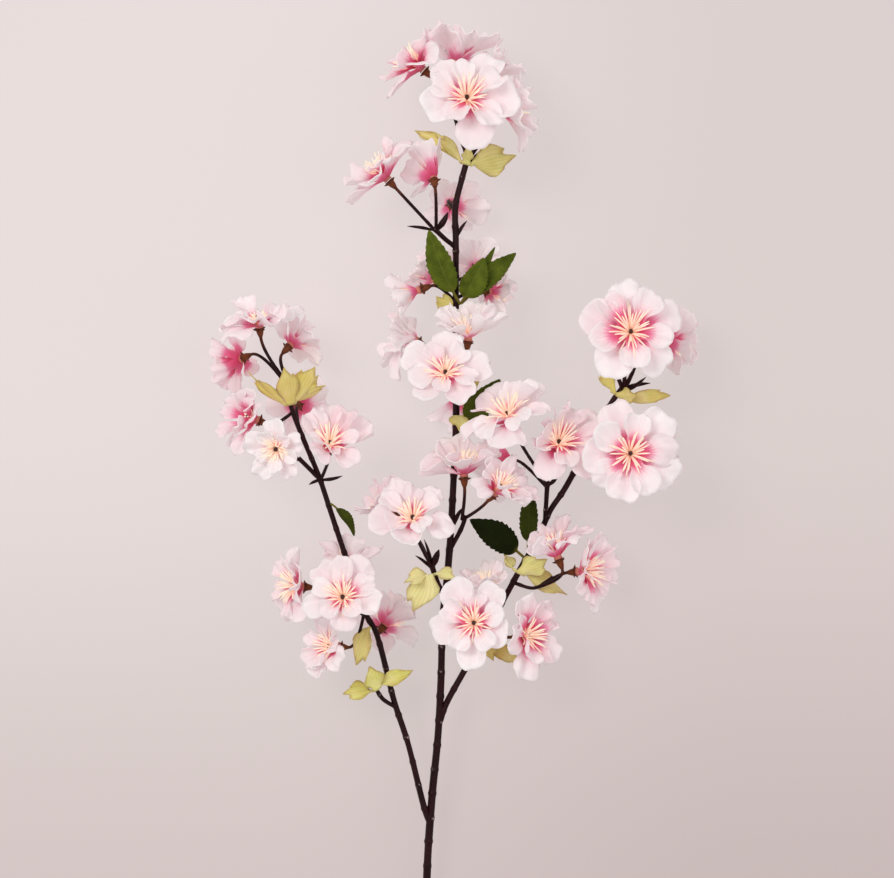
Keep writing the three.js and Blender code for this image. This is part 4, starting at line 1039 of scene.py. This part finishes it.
# In metres, and the lights' power in watts
VIEW_CENTRE = (0.0105, 0.3415, 0)  # of the picture, from the cut end of the stem
VIEW_WIDTH = 0.447  # across the picture, at the height of most blooms
VIEW_HEIGHT = 0.040
CAMERA_HEIGHT = 1.5
SENSOR_WIDTH = 36  # in mm
FLOOR_HALF = 12.0
FLOOR_GLOW = 0.74  # the floor's brightness that is the same everywhere
FLOOR_PAINT = (0.26, 0.26, 0.26, 1)  # the part that light and shadow change
WORLD_STRENGTH = 0.77
KEY = dict(location=(-0.9, 0.7, 1.9), size=0.9, power=15.5, tint="#fffaf7")
FILL = dict(location=(1.3, 0.1, 1.7), size=1.6, power=6.2, tint="#fdf4f6")
centre = ORIGIN + np.array(VIEW_CENTRE)

camera_data = bpy.data.cameras.new("camera")
camera_data.sensor_width = SENSOR_WIDTH
camera_data.sensor_fit = "HORIZONTAL"
camera_data.lens = SENSOR_WIDTH * (CAMERA_HEIGHT - VIEW_HEIGHT) / VIEW_WIDTH
camera_data.clip_end = 60
camera = add_object("camera", camera_data)
camera.location = (centre[0], centre[1], CAMERA_HEIGHT)
bpy.context.scene.camera = camera

floor_mesh = bpy.data.meshes.new("floor")
signs = ((-1, -1), (1, -1), (1, 1), (-1, 1))
corners = [(x * FLOOR_HALF, y * FLOOR_HALF, 0) for x, y in signs]
floor_mesh.from_pydata(corners, [], [(0, 1, 2, 3)])
add_object("floor", floor_mesh)


def floor_material():
    """Pale, with painted shade: a little darker rightwards and downwards near the part, and even further out.
    """
    n = Nodes("pale_surface", 0.95, Specular_IOR_Level=0.1, Emission_Strength=FLOOR_GLOW)
    place = n.place()
    sides = n.node("ShaderNodeSeparateXYZ", {0: place})
    distance = n.node("ShaderNodeVectorMath", {0: place}, operation="LENGTH").outputs["Value"]
    # painted shade: darker rightwards and downwards near the part
    rightwards = n.eased(sides.outputs["X"], -0.1, 0.16, 0.36)
    downwards = n.eased(sides.outputs["Y"], 0.1, -0.2, 0.66)
    outwards = n.eased(distance, 0.3, 0.75)
    shade = n.ramp(n.math("ADD", rightwards, downwards), [
        (0.0, "#eae0df"), (0.3, "#e0d6d4"), (0.6, "#d7cbc9"), (1.0, "#cbbebc"),
    ])
    shade = n.mix(outwards, shade, "#ddd3d1")
    # the painted shade is in the glow as well as in the paint
    return n.finish(n.mix(1.0, shade, FLOOR_PAINT, "MULTIPLY"), glow=shade)


floor_mesh.materials.append(floor_material())

world = bpy.data.worlds.new("world")
bpy.context.scene.world = world
world.use_nodes = True
background = world.node_tree.nodes["Background"]
background.inputs["Color"].default_value = colour("#e2dad9")
background.inputs["Strength"].default_value = WORLD_STRENGTH


def area_light(name, location, size, power, tint):
    """A square light that faces the middle of the picture."""
    data = bpy.data.lights.new(name, "AREA")
    data.size = size
    data.energy = power
    data.color = colour(tint)[:3]
    light = add_object(name, data)
    light.location = location
    aim = np.array([centre[0], centre[1], 0]) - vec(location)
    light.rotation_mode = "QUATERNION"
    light.rotation_quaternion = Vector(aim).to_track_quat("-Z", "Y")


area_light("key", **KEY)
area_light("fill", **FILL)

bpy.context.scene.view_settings.view_transform = "Standard"
